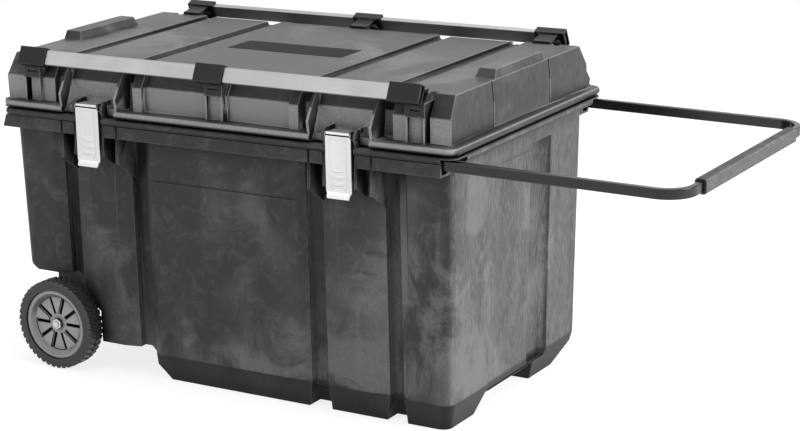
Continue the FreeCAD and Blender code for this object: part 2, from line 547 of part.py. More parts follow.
def build_lid():
    """Moulded lid: flanged rim, sloped shoulders, top grooves, latch bays, grip blocks, hinge ears."""
    flange = box("lid_rim_box", ("-rim_left", "rim_right"), ("-rim_half_depth", "rim_half_depth"),
                 (LID_BOTTOM, LID_FLOOR))
    rim = rounded("lid_rim", flange, (0, 0, 1), "rim_corner")
    wide = ("-lid_length / 2", "lid_length / 2", "-lid_depth / 2", "lid_depth / 2")
    top = ("-lid_top_length / 2", "lid_top_length / 2", "-lid_top_depth / 2", "lid_top_depth / 2")
    skirt = frustum("lid_skirt", wide, wide, (f"{LID_FLOOR} - wall", "lid_break"))
    shoulder = frustum("lid_shoulder", wide, top, ("lid_break", "lid_top"))

    slope = "(lid_depth - lid_top_depth) / 2"
    grooves = []
    for side_name, side in SIDES:
        for part in ("inner", "outer"):
            stretch = (f"{side} * {part}_groove - groove_width / 2",
                       f"{side} * {part}_groove + groove_width / 2")
            grooves.append(box(f"top_groove_{part}_{side_name}", stretch, ("-lid_depth", "lid_depth"),
                               ("lid_top - groove_depth", "lid_top + wall")))
            for face_name, face in FACES:
                grooves.append(box(f"side_groove_{part}_{face_name}_{side_name}", stretch,
                                   span(face, "groove_front", "lid_depth"),
                                   (LID_FLOOR, "lid_top")))
        for face_name, face in FACES:
            tag = f"{face_name}_{side_name}"
            for part, x_from, x_to, depth in (
                    ("bay", "latch_x - fin_offset", "latch_x + fin_offset", "bay_recess"),
                    ("panel", "panel_from", "panel_to", "panel_depth"),
                    ("end_gap", "end_gap_from", "end_gap_to", "end_gap_depth")):
                spots = [(f"{face} * (lid_depth / 2 - {depth})", LID_FLOOR),
                         (f"{face} * (lid_depth / 2 - {depth})", "lid_break"),
                         (f"{face} * (lid_depth / 2 - {depth} - {slope})", "lid_top"),
                         (f"{face} * (lid_depth / 2 - {depth} - {slope})", "lid_top + wall"),
                         (f"{face} * lid_depth", "lid_top + wall"),
                         (f"{face} * lid_depth", LID_FLOOR)]
                grooves.append(profile(f"{part}_{tag}", "YZ", spots, span(side, x_from, x_to)))
    crown = cut("lid_crown", fuse("lid_mass", [skirt, shoulder]), grooves)

    pieces = [crown]
    post_share = "(post_top - lid_break) / (lid_top - lid_break)"
    fin = [("lid_depth / 2 - bay_recess - wall", LID_BOTTOM), ("rim_half_depth", LID_BOTTOM),
           ("rim_half_depth", "lid_fin_shoulder"), ("rim_half_depth - lid_fin_run", "lid_fin_top"),
           (f"lid_depth / 2 - {slope} - wall", "lid_fin_top"),
           ("lid_depth / 2 - bay_recess - wall", "lid_break")]
    strip = [("lid_depth / 2 - wall", f"{LID_FLOOR} - wall"), ("strip_face", f"{LID_FLOOR} - wall"),
             ("strip_face", "lid_break"), (f"strip_face - {slope} * {post_share}", "post_top"),
             ("lid_top_depth / 2 - wall", "post_top"), ("lid_depth / 2 - wall", "lid_break")]
    tab = [("lid_depth / 2 - wall", "tab_bottom"), ("strip_face", "tab_bottom"),
           ("strip_face", "post_top"), ("lid_top_depth / 2 - wall", "post_top")]
    rib = [("lid_depth / 2 - end_gap_depth", f"{LID_FLOOR} - wall"),
           ("strip_face", f"{LID_FLOOR} - wall"), ("strip_face", "post_top"),
           ("lid_top_depth / 2 - wall", "post_top"),
           ("lid_depth / 2 - end_gap_depth", "lid_break")]
    cheek = [("lid_depth / 2 - bay_recess - wall", LID_BOTTOM), ("bay_bead", LID_BOTTOM),
             ("bay_bead", "cheek_top"), ("lid_depth / 2 - bay_recess - wall", "cheek_top")]
    for face_name, face in FACES:
        for side_name, side in SIDES:
            tag = f"{face_name}_{side_name}"
            for part, offset in (("inner", "- fin_offset"), ("outer", "+ fin_offset")):
                pieces.append(lid_rib(f"lid_fin_{part}_{tag}", fin, f"{side} * (latch_x {offset})",
                                      "fin_thickness / 2", face))
            pieces.append(lid_rib(f"lid_strip_{tag}", strip,
                                  f"{side} * (panel_to + strip_width / 2)", "strip_width / 2", face))
        for part, place in (("left", "-post_spread"), ("middle", "0"), ("right", "post_spread")):
            tag = f"{face_name}_{part}"
            pieces.append(lid_rib(f"post_tab_{tag}", tab, place, "post_half", face))
            for edge in (-1, 1):
                pieces.append(lid_rib(f"post_rib_{tag}_{edge + 1}", rib,
                                      f"{place} + {edge} * (post_half - post_rib / 2)",
                                      "post_rib / 2", face))
    for side_name, side in SIDES:
        for part, edge in (("inner", -1), ("outer", 1)):
            middle = f"{side} * latch_x + {edge} * (cheek_inner + fin_thickness / 2)"
            pieces.append(lid_rib(f"lid_cheek_{part}_{side_name}", cheek, middle,
                                  "fin_thickness / 2", -1))
        pieces.append(box(f"keeper_{side_name}",
                          (f"{side} * latch_x - keeper_half", f"{side} * latch_x + keeper_half"),
                          ("-keeper_face", "-lid_depth / 2 + bay_recess + wall"),
                          (LID_BOTTOM, "keeper_top")))
        foot_x = span(side, "block_inner", "lid_length / 2 - block_slit / 2")
        head_x = span(side, "block_inner + block_slope", "lid_top_length / 2 - block_slit")
        pieces.append(frustum(f"grip_block_{side_name}",
                              (foot_x[0], foot_x[1], "-block_half", "block_half"),
                              (head_x[0], head_x[1], "-block_top_half", "block_top_half"),
                              ("lid_break + wall", "lid_top + block_height")))
        ear = [("lid_depth / 2 - wall", LID_FLOOR), ("hinge_y - knuckle_radius", LID_FLOOR),
               ("hinge_y - knuckle_radius", "hinge_z"), ("hinge_y + knuckle_radius", "hinge_z"),
               ("hinge_y + knuckle_radius", f"{LID_FLOOR} + knuckle_radius"),
               ("lid_depth / 2 + wall", "ear_top"), ("lid_depth / 2 - wall", "ear_top")]
        for part, edge in (("inner", -1), ("outer", 1)):
            near, far = span(edge, "knuckle_half + hinge_gap",
                             "knuckle_half + hinge_gap + ear_thickness")
            stretch = (f"{side} * hinge_x + {near}", f"{side} * hinge_x + {far}")
            pieces.append(profile(f"ear_{part}_{side_name}", "YZ", ear, stretch))
            pieces.append(rod(f"ear_round_{part}_{side_name}", "X",
                              (stretch[0], "hinge_y", "hinge_z"), "ear_thickness",
                              "knuckle_radius"))
    bays = []
    for side_name, side in SIDES:
        for face_name, face in FACES:
            bays.append(box(f"bead_bay_{face_name}_{side_name}",
                            span(side, "latch_x - fin_offset", "latch_x + fin_offset"),
                            span(face, "bay_bead", "rim_half_depth + wall"),
                            (f"{LID_BOTTOM} - wall", f"{LID_FLOOR} + wall")))
        bays.append(box(f"claw_bay_{side_name}",
                        (f"{side} * latch_x - cheek_inner", f"{side} * latch_x + cheek_inner"),
                        ("-rim_half_depth - wall", "-keeper_face"),
                        (f"{LID_BOTTOM} - wall", f"{LID_FLOOR} + wall")))
    solid = fuse("lid_solid", pieces + [cut("lid_rim_open", rim, bays)])

    inset = "(groove_depth + lid_wall)"
    deep = "(lid_depth / 2 - groove_front + lid_wall)"
    low_in = ("-lid_length / 2 + lid_wall", "lid_length / 2 - lid_wall",
              f"-lid_depth / 2 + {deep}", f"lid_depth / 2 - {deep}")
    high_in = (f"-lid_top_length / 2 + {inset}", f"lid_top_length / 2 - {inset}",
               f"-lid_top_depth / 2 + {deep}", f"lid_top_depth / 2 - {deep}")
    hollow = frustum("lid_hollow", low_in, high_in, (f"{LID_BOTTOM} - wall", f"lid_top - {inset}"))
    ring_out = box("seal_groove_out",
                   ("-tub_length / 2 + seal_side_gap", "tub_length / 2 - seal_side_gap"),
                   ("-tub_depth / 2 + seal_side_gap", "tub_depth / 2 - seal_side_gap"),
                   (f"{LID_BOTTOM} - wall", f"{LID_BOTTOM} + seal_height"))
    ring_in = box("seal_groove_in",
                  ("-tub_length / 2 + seal_width - seal_side_gap",
                   "tub_length / 2 - seal_width + seal_side_gap"),
                  ("-tub_depth / 2 + seal_width - seal_side_gap",
                   "tub_depth / 2 - seal_width + seal_side_gap"),
                  (f"{LID_BOTTOM} - 2 * wall", f"{LID_BOTTOM} + seal_height + wall"))
    removed = [hollow, cut("seal_groove", ring_out, [ring_in])]
    removed.append(box("badge_recess", ("-badge_length / 2 - seat_clearance",
                                        "badge_length / 2 + seat_clearance"),
                       ("-badge_depth / 2 - seat_clearance", "badge_depth / 2 + seat_clearance"),
                       ("lid_top - badge_sink", "lid_top + wall")))
    for side_name, side in SIDES:
        removed.append(rod(f"ear_hole_{side_name}", "X",
                           (f"{side} * hinge_x - {PIN_REACH} - wall", "hinge_y", "hinge_z"),
                           f"2 * ({PIN_REACH} + wall)", "hinge_pin_radius + bore_clearance"))
        for edge in (-1, 1):
            removed.append(box(f"block_slit_{side_name}_{edge + 1}",
                               span(side, "lid_top_length / 2 - block_slit", "lid_length / 2 + wall"),
                               (f"{edge} * block_half - block_slit / 2",
                                f"{edge} * block_half + block_slit / 2"),
                               (LID_FLOOR, "lid_top + wall")))
    for part, place in (("left", "-post_spread"), ("middle", "0"), ("right", "post_spread")):
        for face_name, face in FACES:
            removed.append(box(f"tab_slit_{face_name}_{part}",
                               (f"{place} - post_half / 2", f"{place} + post_half / 2"),
                               span(face, "strip_face - tab_slit", "strip_face + wall"),
                               ("(tab_bottom + post_top) / 2 - tab_slit / 2",
                                "(tab_bottom + post_top) / 2 + tab_slit / 2")))
    node("lid", cut("lid_body", solid, removed))

    seal_out = box("seal_out",
                   ("-tub_length / 2 + 2 * seal_side_gap", "tub_length / 2 - 2 * seal_side_gap"),
                   ("-tub_depth / 2 + 2 * seal_side_gap", "tub_depth / 2 - 2 * seal_side_gap"),
                   ("bead_top + seal_side_gap", f"{LID_BOTTOM} + seal_height"))
    seal_in = box("seal_in", ("-tub_length / 2 + seal_width - 2 * seal_side_gap",
                              "tub_length / 2 - seal_width + 2 * seal_side_gap"),
                  ("-tub_depth / 2 + seal_width - 2 * seal_side_gap",
                   "tub_depth / 2 - seal_width + 2 * seal_side_gap"),
                  (f"{LID_BOTTOM} - wall", f"{LID_BOTTOM} + seal_height + wall"))
    node("lid_seal", cut("seal_ring", seal_out, [seal_in]))
    node("badge_plate", box("badge", ("-badge_length / 2", "badge_length / 2"),
                            ("-badge_depth / 2", "badge_depth / 2"),
                            ("lid_top - badge_sink", "lid_top - badge_sink + badge_thickness")))


def tilted(thing, face):
    """Lean a rail piece with the lid's shoulder and set it at the rail's centre line."""
    thing.Placement.Rotation = FreeCAD.Rotation(FreeCAD.Vector(1, 0, 0), 1)
    thing.setExpression("Placement.Rotation.Angle", formula(f"{face} * rail_tilt"))
    bind(thing, _at_y=f"{face} * rail_y", _at_z="rail_z")
    return thing


def build_rails():
    """Extruded rails held off the lid's edges by three moulded clips each."""
    half = "(clip_x + rail_overhang)"
    for face_name, face in FACES:
        bar = box(f"rail_bar_{face_name}", (f"-{half}", half),
                  ("-rail_thickness / 2", "rail_thickness / 2"),
                  ("-rail_height / 2", "rail_height / 2"))
        rail = rounded(f"rail_round_{face_name}", bar, (1, 0, 0), "rail_round")
        node(f"rail_{face_name}", tilted(rail, face))
        for part, place in (("left", "-clip_x"), ("middle", "0"), ("right", "clip_x")):
            tag = f"{face_name}_{part}"
            stretch = (f"{place} - clip_half", f"{place} + clip_half")
            sleeve = tilted(box(f"clip_sleeve_{tag}", stretch,
                                ("-rail_thickness / 2 - clip_wall", "rail_thickness / 2 + clip_wall"),
                                ("-rail_height / 2 - clip_wall", "rail_height / 2 + clip_wall")), face)
            bind(sleeve,
                 _at_y=f"{face} * rail_y - (rail_thickness / 2 + clip_wall) * cos(rail_tilt)"
                       f" + {face} * (rail_height / 2 + clip_wall) * sin(rail_tilt)",
                 _at_z=f"rail_z - {face} * (rail_thickness / 2 + clip_wall) * sin(rail_tilt)"
                       " - (rail_height / 2 + clip_wall) * cos(rail_tilt)")
            arm = [("rail_y - rail_thickness / 2", "rail_z + rail_height / 2 - clip_wall"),
                   ("lid_top_depth / 2", "lid_top + clip_foot_height"),
                   ("clip_foot", "lid_top + clip_foot_height"), ("clip_foot", "lid_top"),
                   ("lid_top_depth / 2", "lid_top"), ("rail_y - rail_thickness / 2", "rail_z")]
            spots = [(f"{face}*({y})", z) for y, z in arm]
            bracket = profile(f"clip_arm_{tag}", "YZ", spots,
                              (f"{place} - clip_arm_half", f"{place} + clip_arm_half"))
            hole = box(f"clip_hole_{tag}", (f"{place} - clip_half - wall", f"{place} + clip_half + wall"),
                       ("-rail_thickness / 2 - clip_fit", "rail_thickness / 2 + clip_fit"),
                       ("-rail_height / 2 - clip_fit", "rail_height / 2 + clip_fit"))
            hole.Placement.Rotation = FreeCAD.Rotation(FreeCAD.Vector(1, 0, 0), 1)
            hole.setExpression("Placement.Rotation.Angle", formula(f"{face} * rail_tilt"))
            bind(hole,
                 _at_y=f"{face} * rail_y - (rail_thickness / 2 + clip_fit) * cos(rail_tilt)"
                       f" + {face} * (rail_height / 2 + clip_fit) * sin(rail_tilt)",
                 _at_z=f"rail_z - {face} * (rail_thickness / 2 + clip_fit) * sin(rail_tilt)"
                       " - (rail_height / 2 + clip_fit) * cos(rail_tilt)")
            node(f"rail_clip_{tag}",
                 cut(f"clip_{tag}", fuse(f"clip_solid_{tag}", [sleeve, bracket]), [hole]))


def drooped(thing):
    """Hang a handle piece, drawn about the rods' mouth, at the handle's slight droop."""
    thing.Placement.Rotation = FreeCAD.Rotation(FreeCAD.Vector(0, 1, 0), 1)
    thing.setExpression("Placement.Rotation.Angle", formula("handle_droop"))
    bind(thing, _at_x="mouth_x", _at_z="rod_z")
    return thing


def fillet_corners(name, base, radius):
    """Fillet the two upright edges at the far end of a plate."""
    doc.recompute()
    end = base.Shape.BoundBox.XMax
    edges = []
    for index, edge in enumerate(base.Shape.Edges, start=1):
        box_of_edge = edge.BoundBox
        if box_of_edge.XMin > end - 0.01 and box_of_edge.YLength < 0.01:
            edges.append((index, radius, radius))
    thing = doc.addObject("Part::Fillet", name)
    thing.Base = base
    thing.Edges = edges
    return thing


def build_handle():
    """Bent flat-bar U handle with a soft grip, end stops on its rods and liners in the channels."""
    upright = ("-rod_height / 2", "rod_height / 2")
    outer = box("handle_outer", ("rod_inner - mouth_x", "handle_reach - mouth_x"),
                ("-rod_y - rod_width / 2", "rod_y + rod_width / 2"), upright)
    inner = box("handle_inner", ("rod_inner - mouth_x - rod_width",
                                 "handle_reach - mouth_x - rod_width"),
                ("-rod_y + rod_width / 2", "rod_y - rod_width / 2"),
                ("-rod_height", "rod_height"))
    outside = fillet_corners("handle_outside", outer, size("bend_radius") + size("rod_width") / 2)
    inside = fillet_corners("handle_inside", inner, size("bend_radius") - size("rod_width") / 2)
    node("handle_frame", drooped(cut("handle_bar", outside, [inside])))

    bar = "handle_reach - mouth_x - rod_width / 2"
    sleeve = box("grip_box", (f"{bar} - grip_width / 2", f"{bar} + grip_width / 2"),
                 ("-grip_half_length", "grip_half_length"), ("-grip_height / 2", "grip_height / 2"))
    sleeve = rounded("grip_round", sleeve, (0, 1, 0), "wall")
    bore = box("grip_bore", (f"{bar} - rod_width / 2 - seat_clearance",
                             f"{bar} + rod_width / 2 + seat_clearance"),
               ("-grip_half_length - wall", "grip_half_length + wall"),
               ("-rod_height / 2 - seat_clearance", "rod_height / 2 + seat_clearance"))
    node("handle_grip", drooped(cut("grip_sleeve", sleeve, [bore])))

    for face_name, face in FACES:
        stop = box(f"stop_{face_name}", ("rod_inner - stop_length - mouth_x", "rod_inner - mouth_x"),
                   (f"{face} * rod_y - stop_width / 2", f"{face} * rod_y + stop_width / 2"),
                   ("-stop_height / 2", "stop_height / 2"))
        carrier = doc.addObject("Part::Compound", f"stop_carrier_{face_name}")
        carrier.Links = [stop]
        node(f"handle_stop_{face_name}", drooped(carrier))
        liners = []
        for part, near, far in (("inner", "passage_from + guide_seat",
                                 "rod_y - rod_width / 2 - guide_play"),
                                ("outer", "rod_y + rod_width / 2 + guide_play",
                                 "passage_to - guide_seat")):
            liners.append(box(f"guide_{part}_{face_name}",
                              ("rod_inner + guide_gap", "rod_inner + guide_gap + guide_length"),
                              span(face, near, far),
                              ("passage_bottom + guide_seat", "passage_top - guide_seat")))
        pair = doc.addObject("Part::Compound", f"guide_pair_{face_name}")
        pair.Links = liners
        node(f"handle_guide_{face_name}", pair)


def build_wheels():
    """Steel axle, spoked plastic hubs with rubber tyres, washers and push nuts."""
    node("axle", rod("axle_bar", "Y", ("axle_x", "-axle_half_length", "axle_z"),
                     "2 * axle_half_length", "axle_radius"))
    band_far = "wheel_outer - hub_inset"
    band_near = "wheel_outer - hub_inset - hub_width"
    for side in FACES:
        face_name = side[0]
        bore = disc("hub_bore", side, "wheel_inner - wall", "wheel_outer + wall",
                    "axle_radius + bore_clearance")
        felly = cut(f"felly_{face_name}",
                    disc("felly_out", side, band_near, band_far, "rim_radius"),
                    [disc("felly_in", side, f"{band_near} - wall", f"{band_far} + wall",
                          "rim_radius - felly")])
        web = disc("web", side, f"{band_far} - web_inset - web_thickness",
                   f"{band_far} - web_inset", "rim_radius - felly / 2")
        boss = disc("boss", side, band_near, f"{band_far} - web_inset", "boss_radius")
        slots = []
        for turn in range(int(size("slot_count"))):
            slot = box(f"spoke_gap_{face_name}_{turn}",
                       ("boss_radius + wall", "boss_radius + wall + wheel_slot_length"),
                       ("-wheel_outer", "wheel_outer"),
                       ("-wheel_slot_width / 2", "wheel_slot_width / 2"))
            carrier = doc.addObject("Part::Compound", f"spoke_turn_{face_name}_{turn}")
            carrier.Links = [slot]
            carrier.Placement.Rotation = FreeCAD.Rotation(FreeCAD.Vector(0, 1, 0), 1)
            bind(carrier, _at_x="axle_x", _at_z="axle_z")
            carrier.setExpression("Placement.Rotation.Angle", formula(f"360 / slot_count * {turn}"))
            slots.append(carrier)
        body = fuse(f"hub_solid_{face_name}", [felly, web, boss])
        node(f"wheel_hub_{face_name}", cut(f"hub_{face_name}", body, slots + [bore]))
        tread = disc("tread", side, "wheel_inner", "wheel_outer", "tyre_radius")
        seat = disc("tyre_seat", side, "wheel_inner - wall", "wheel_outer + wall",
                    "rim_radius + seat_clearance")
        shoulders = doc.addObject("Part::Fillet", f"tyre_shoulders_{face_name}")
        doc.recompute()
        shoulders.Base = tread
        shoulders.Edges = [(index, size("wall"), size("wall"))
                           for index, edge in enumerate(tread.Shape.Edges, start=1)
                           if edge.Closed]
        node(f"tyre_{face_name}", cut(f"tyre_ring_{face_name}", shoulders, [seat]))
        washer = disc("washer_disc", side, "well_side + washer_gap",
                      f"{band_near} - washer_gap", "washer_radius")
        hole = disc("washer_hole", side, "well_side", "wheel_outer",
                    "axle_radius + seat_clearance")
        node(f"wheel_spacer_{face_name}", cut(f"spacer_{face_name}", washer, [hole]))
        cap = disc("nut_cap", side, f"{band_far} - web_inset + washer_gap",
                   f"{band_far} - web_inset + washer_gap + nut_height", "nut_radius")
        socket = disc("nut_socket", side, "well_side", "axle_half_length + seat_clearance",
                      "axle_radius + seat_clearance")
        node(f"axle_nut_{face_name}", cut(f"nut_{face_name}", cap, [socket]))


def build_latches():
    """Draw latches: a folded steel lever on two stub pins, and a claw hinged at its top edge."""
    for side_name, side in SIDES:
        middle = f"{side} * latch_x"
        half = (f"{middle} - lever_half", f"{middle} + lever_half")
        back = "-latch_face + lever_plate"
        plate = box(f"lever_plate_{side_name}", half, ("-latch_face", back),
                    ("lever_bottom", "lever_top"))
        lip = [("-latch_face", "lever_bottom"),
               ("-latch_face - lip_reach", "lever_bottom - lip_drop"),
               ("-latch_face - lip_reach + lever_plate", "lever_bottom - lip_drop"),
               (back, "lever_bottom - lever_plate"), (back, "lever_bottom + lever_plate"),
               ("-latch_face", "lever_bottom + lever_plate")]
        parts = [plate, profile(f"lever_lip_{side_name}", "YZ", lip, half)]
        holes = [rod(f"lever_hole_{side_name}", "X", (half[0], "-pivot_y", "pivot_z"),
                     "2 * lever_half", "pivot_radius + bore_clearance"),
                 rod(f"lever_claw_hole_{side_name}", "X", (half[0], "-claw_pin_y", "claw_pin_z"),
                     "2 * lever_half", "claw_pin_radius + seat_clearance")]
        for edge in (-1, 1):
            flange = span(edge, "lever_half - lever_plate", "lever_half")
            parts.append(box(f"lever_flange_{side_name}_{edge + 1}",
                             (f"{middle} + {flange[0]}", f"{middle} + {flange[1]}"),
                             (back, f"{back} + lever_flange"),
                             ("(lever_bottom + channel_bottom) / 2",
                              "claw_pin_z + claw_knuckle")))
        lever = fuse(f"lever_solid_{side_name}", parts)
        node(f"latch_lever_{side_name}", cut(f"lever_{side_name}", lever, holes))

        reach = "(lever_half - lever_plate - claw_play)"
        wide = (f"{middle} - {reach}", f"{middle} + {reach}")
        claw_top = "claw_pin_z + claw_knuckle"
        strap = [("-claw_pin_y", f"{claw_top} - lever_plate"), ("-claw_pin_y", claw_top),
                 ("-hook_reach", claw_top), ("-hook_reach", f"{claw_top} - hook_lip"),
                 ("-hook_reach - lever_plate", f"{claw_top} - hook_lip"),
                 ("-hook_reach - lever_plate", f"{claw_top} - lever_plate")]
        strap_x = (f"{middle} - ({reach} - strap_inset)", f"{middle} + ({reach} - strap_inset)")
        knuckle = rod(f"claw_knuckle_{side_name}", "X", (wide[0], "-claw_pin_y", "claw_pin_z"),
                      f"2 * {reach}", "claw_knuckle")
        bore = rod(f"claw_bore_{side_name}", "X", (half[0], "-claw_pin_y", "claw_pin_z"),
                   "2 * lever_half", "claw_pin_radius + bore_clearance")
        claw = fuse(f"claw_solid_{side_name}",
                    [profile(f"claw_strap_{side_name}", "YZ", strap, strap_x), knuckle])
        node(f"latch_claw_{side_name}", cut(f"claw_{side_name}", claw, [bore]))

        stubs = []
        for edge in (-1, 1):
            inner_end = span(edge, "stub_reach", "cheek_inner + fin_thickness")[0]
            stubs.append(rod(f"stub_{side_name}_{edge + 1}", "X",
                             (f"{middle} + {inner_end}", "-pivot_y", "pivot_z"),
                             "cheek_inner + fin_thickness - stub_reach", "pivot_radius"))
        pair = doc.addObject("Part::Compound", f"stub_pair_{side_name}")
        pair.Links = stubs
        node(f"latch_pin_{side_name}", pair)
        node(f"claw_pin_{side_name}",
             rod(f"claw_rod_{side_name}", "X", (half[0], "-claw_pin_y", "claw_pin_z"),
                 "2 * lever_half", "claw_pin_radius"))


def build_hinge_pins():
    """Steel pins through the tub's knuckles and the lid's ears."""
    for side_name, side in SIDES:
        node(f"hinge_pin_{side_name}",
             rod(f"hinge_rod_{side_name}", "X",
                 (f"{side} * hinge_x - {PIN_REACH}", "hinge_y", "hinge_z"),
                 f"2 * {PIN_REACH}", "hinge_pin_radius"))


build_tub()
build_lid()
build_rails()
build_handle()
build_wheels()
build_latches()
build_hinge_pins()

doc.recompute()
broken = [thing.Name for thing in doc.Objects
          if "Invalid" in thing.State or "Error" in thing.State]
for thing in NODES:
    if thing.Shape.isNull() or not thing.Shape.isValid() or not thing.Shape.Solids:
        broken.append(thing.Label)
if broken:
    raise RuntimeError("failed objects: " + ", ".join(broken))

os.makedirs("parts", exist_ok=True)
for thing in NODES:
    thing.Shape.exportStep(f"parts/{thing.Label}.step")
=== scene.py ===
import math

import bmesh
import bpy
from mathutils import Matrix, Quaternion, Vector


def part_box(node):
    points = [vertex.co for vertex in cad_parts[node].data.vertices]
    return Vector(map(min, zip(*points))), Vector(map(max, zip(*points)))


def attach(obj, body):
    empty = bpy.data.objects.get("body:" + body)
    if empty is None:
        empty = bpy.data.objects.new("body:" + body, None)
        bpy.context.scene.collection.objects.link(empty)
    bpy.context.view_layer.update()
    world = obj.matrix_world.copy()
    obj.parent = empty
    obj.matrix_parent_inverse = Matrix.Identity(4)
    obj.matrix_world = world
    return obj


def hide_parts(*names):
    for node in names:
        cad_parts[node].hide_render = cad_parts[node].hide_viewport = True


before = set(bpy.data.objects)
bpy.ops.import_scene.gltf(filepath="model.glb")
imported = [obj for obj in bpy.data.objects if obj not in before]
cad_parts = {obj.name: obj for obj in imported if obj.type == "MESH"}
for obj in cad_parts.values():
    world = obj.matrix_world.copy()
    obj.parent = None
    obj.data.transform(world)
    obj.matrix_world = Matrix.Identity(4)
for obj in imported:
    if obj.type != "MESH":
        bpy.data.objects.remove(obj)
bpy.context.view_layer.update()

scene = bpy.context.scene


# Camera: a long lens at adult eye height, off the box's front right corner. It leans a little,
# and the box stands left of the middle of the view, with room for the pulled-out handle.
FRAME_WIDTH = 800
FRAME_HEIGHT = 431
FOCAL_PIXELS = 2228.6
AXIS_AT = (291.0, 217.1)
AIM = Vector((0.0832, -0.1559, 0.3121))
AIM_DISTANCE = 3.9057
CAMERA_TURN = math.radians(32.97)
CAMERA_RISE = math.radians(15.04)
CAMERA_LEAN = math.radians(-1.742)
backwards = Vector((math.sin(CAMERA_TURN) * math.cos(CAMERA_RISE),
                    -math.cos(CAMERA_TURN) * math.cos(CAMERA_RISE),
                    math.sin(CAMERA_RISE)))


def placed(name, data):
    """New object of the data, in the scene."""
    item = bpy.data.objects.new(name, data)
    scene.collection.objects.link(item)
    return item


camera_data = bpy.data.cameras.new("camera")
camera_data.sensor_width = 36
camera_data.lens = camera_data.sensor_width * FOCAL_PIXELS / FRAME_WIDTH
camera_data.shift_x = (FRAME_WIDTH / 2 - AXIS_AT[0]) / FRAME_WIDTH
camera_data.shift_y = (AXIS_AT[1] - FRAME_HEIGHT / 2) / FRAME_WIDTH
camera_data.clip_end = 50
camera = placed("camera", camera_data)
camera.rotation_mode = "QUATERNION"
camera.rotation_quaternion = (backwards.to_track_quat("Z", "Y")
                              @ Quaternion((0, 0, 1), CAMERA_LEAN))
camera.location = AIM + backwards * AIM_DISTANCE
scene.camera = camera


# Studio: a pale floor that runs out of sight and soft lamps, the strongest from the handle's
# end. Wire and Nodes build every node tree below, and arithmetic on a Wire adds Math nodes.
class Wire:
    """A value in a node tree. Arithmetic on it adds Math nodes."""

    def __init__(self, nodes, socket):
        self.nodes = nodes
        self.socket = socket

    def math(self, operation, *values):
        """Result of a Math node."""
        return self.nodes.add("ShaderNodeMath", {"operation": operation}, *values)

    def __add__(self, other):
        return self.math("ADD", self, other)

    def __sub__(self, other):
        return self.math("SUBTRACT", self, other)

    def __rsub__(self, other):
        return self.math("SUBTRACT", other, self)

    def __mul__(self, other):
        return self.math("MULTIPLY", self, other)

    __radd__ = __add__
    __rmul__ = __mul__

    def clamped(self):
        """The value, kept from 0 to 1."""
        return self.math("MINIMUM", self.math("MAXIMUM", self, 0.0), 1.0)

    def ease(self, low, high):
        """0 below low, 1 above high and a smooth step between."""
        settings = {"interpolation_type": "SMOOTHSTEP"}
        return self.nodes.add("ShaderNodeMapRange", settings, self, low, high, 0.0, 1.0)


class Nodes:
    """A node tree whose nodes are all made by add()."""

    def __init__(self, tree):
        self.tree = tree
        self.tree.nodes.clear()

    def add(self, kind, settings, *values, output=0, sockets=None):
        """Output of a new node. The values go to its first inputs, and sockets to those named."""
        node = self.tree.nodes.new(kind)
        for key, value in settings.items():
            setattr(node, key, value)
        plugs = list(enumerate(values)) + list((sockets or {}).items())
        for key, value in plugs:
            if isinstance(value, Wire):
                self.tree.links.new(value.socket, node.inputs[key])
            else:
                node.inputs[key].default_value = value
        return Wire(self, node.outputs[output])


class Finish(Nodes):
    """The shader tree of a material or of the world."""

    def __init__(self, owner):
        owner.use_nodes = True
        super().__init__(owner.node_tree)
        self.owner = owner

    def finished(self, shader, end_kind="ShaderNodeOutputMaterial"):
        """The material or world, with its tree ended by the shader."""
        end = self.tree.nodes.new(end_kind)
        self.tree.links.new(shader.socket, end.inputs["Surface"])
        return self.owner

    def seen(self):
        """1 where the camera sees the surface, itself or in a reflection or through glass."""
        share = 0.0
        for ray in ("Is Camera Ray", "Is Glossy Ray", "Is Transmission Ray"):
            share += self.add("ShaderNodeLightPath", {}, output=ray)
        return share.clamped()


def grey(level, warmth=0.0):
    """Opaque near-neutral colour; a positive warmth turns it to brown, a negative one to blue."""
    return (level * (1 + warmth), level, level * (1 - warmth), 1.0)


def mesh_from(work, name):
    """Mesh of a finished BMesh."""
    mesh = bpy.data.meshes.new(name)
    work.to_mesh(mesh)
    work.free()
    return mesh


FLOOR_HALF = 12
FLOOR_GLOW = 0.8
FLOOR_LIT = grey(0.75)
FLOOR_SHADED = grey(0.4)
WHITE = grey(1.0)
floor_finish = Finish(bpy.data.materials.new("pale_floor"))
lit = floor_finish.add("ShaderNodeBsdfDiffuse", {}, FLOOR_LIT)
shaded = floor_finish.add("ShaderNodeBsdfDiffuse", {}, FLOOR_SHADED)
glow = floor_finish.add("ShaderNodeEmission", {}, WHITE, FLOOR_GLOW)
white = floor_finish.add("ShaderNodeAddShader", {}, glow, shaded)
floor_work = bmesh.new()
bmesh.ops.create_grid(floor_work, x_segments=1, y_segments=1, size=FLOOR_HALF)
floor = placed("floor", mesh_from(floor_work, "floor"))
floor.data.materials.append(floor_finish.finished(
    floor_finish.add("ShaderNodeMixShader", {}, floor_finish.seen(), lit, white)))

SKY_LIGHT = 0.42
world = bpy.data.worlds.new("studio")
sky = Finish(world)
dim = sky.add("ShaderNodeBackground", {}, WHITE, SKY_LIGHT)
bright = sky.add("ShaderNodeBackground", {}, WHITE, 1.0)
sky.finished(sky.add("ShaderNodeMixShader", {}, sky.seen(), dim, bright), "ShaderNodeOutputWorld")
scene.world = world


def lamp(name, place, aim, size, power):
    """Square soft lamp that points at a spot."""
    data = bpy.data.lights.new(name, "AREA")
    data.shape = "SQUARE"
    data.size = size
    data.energy = power
    light = placed(name, data)
    light.location = place
    light.rotation_euler = (Vector(place) - Vector(aim)).to_track_quat("Z", "Y").to_euler()


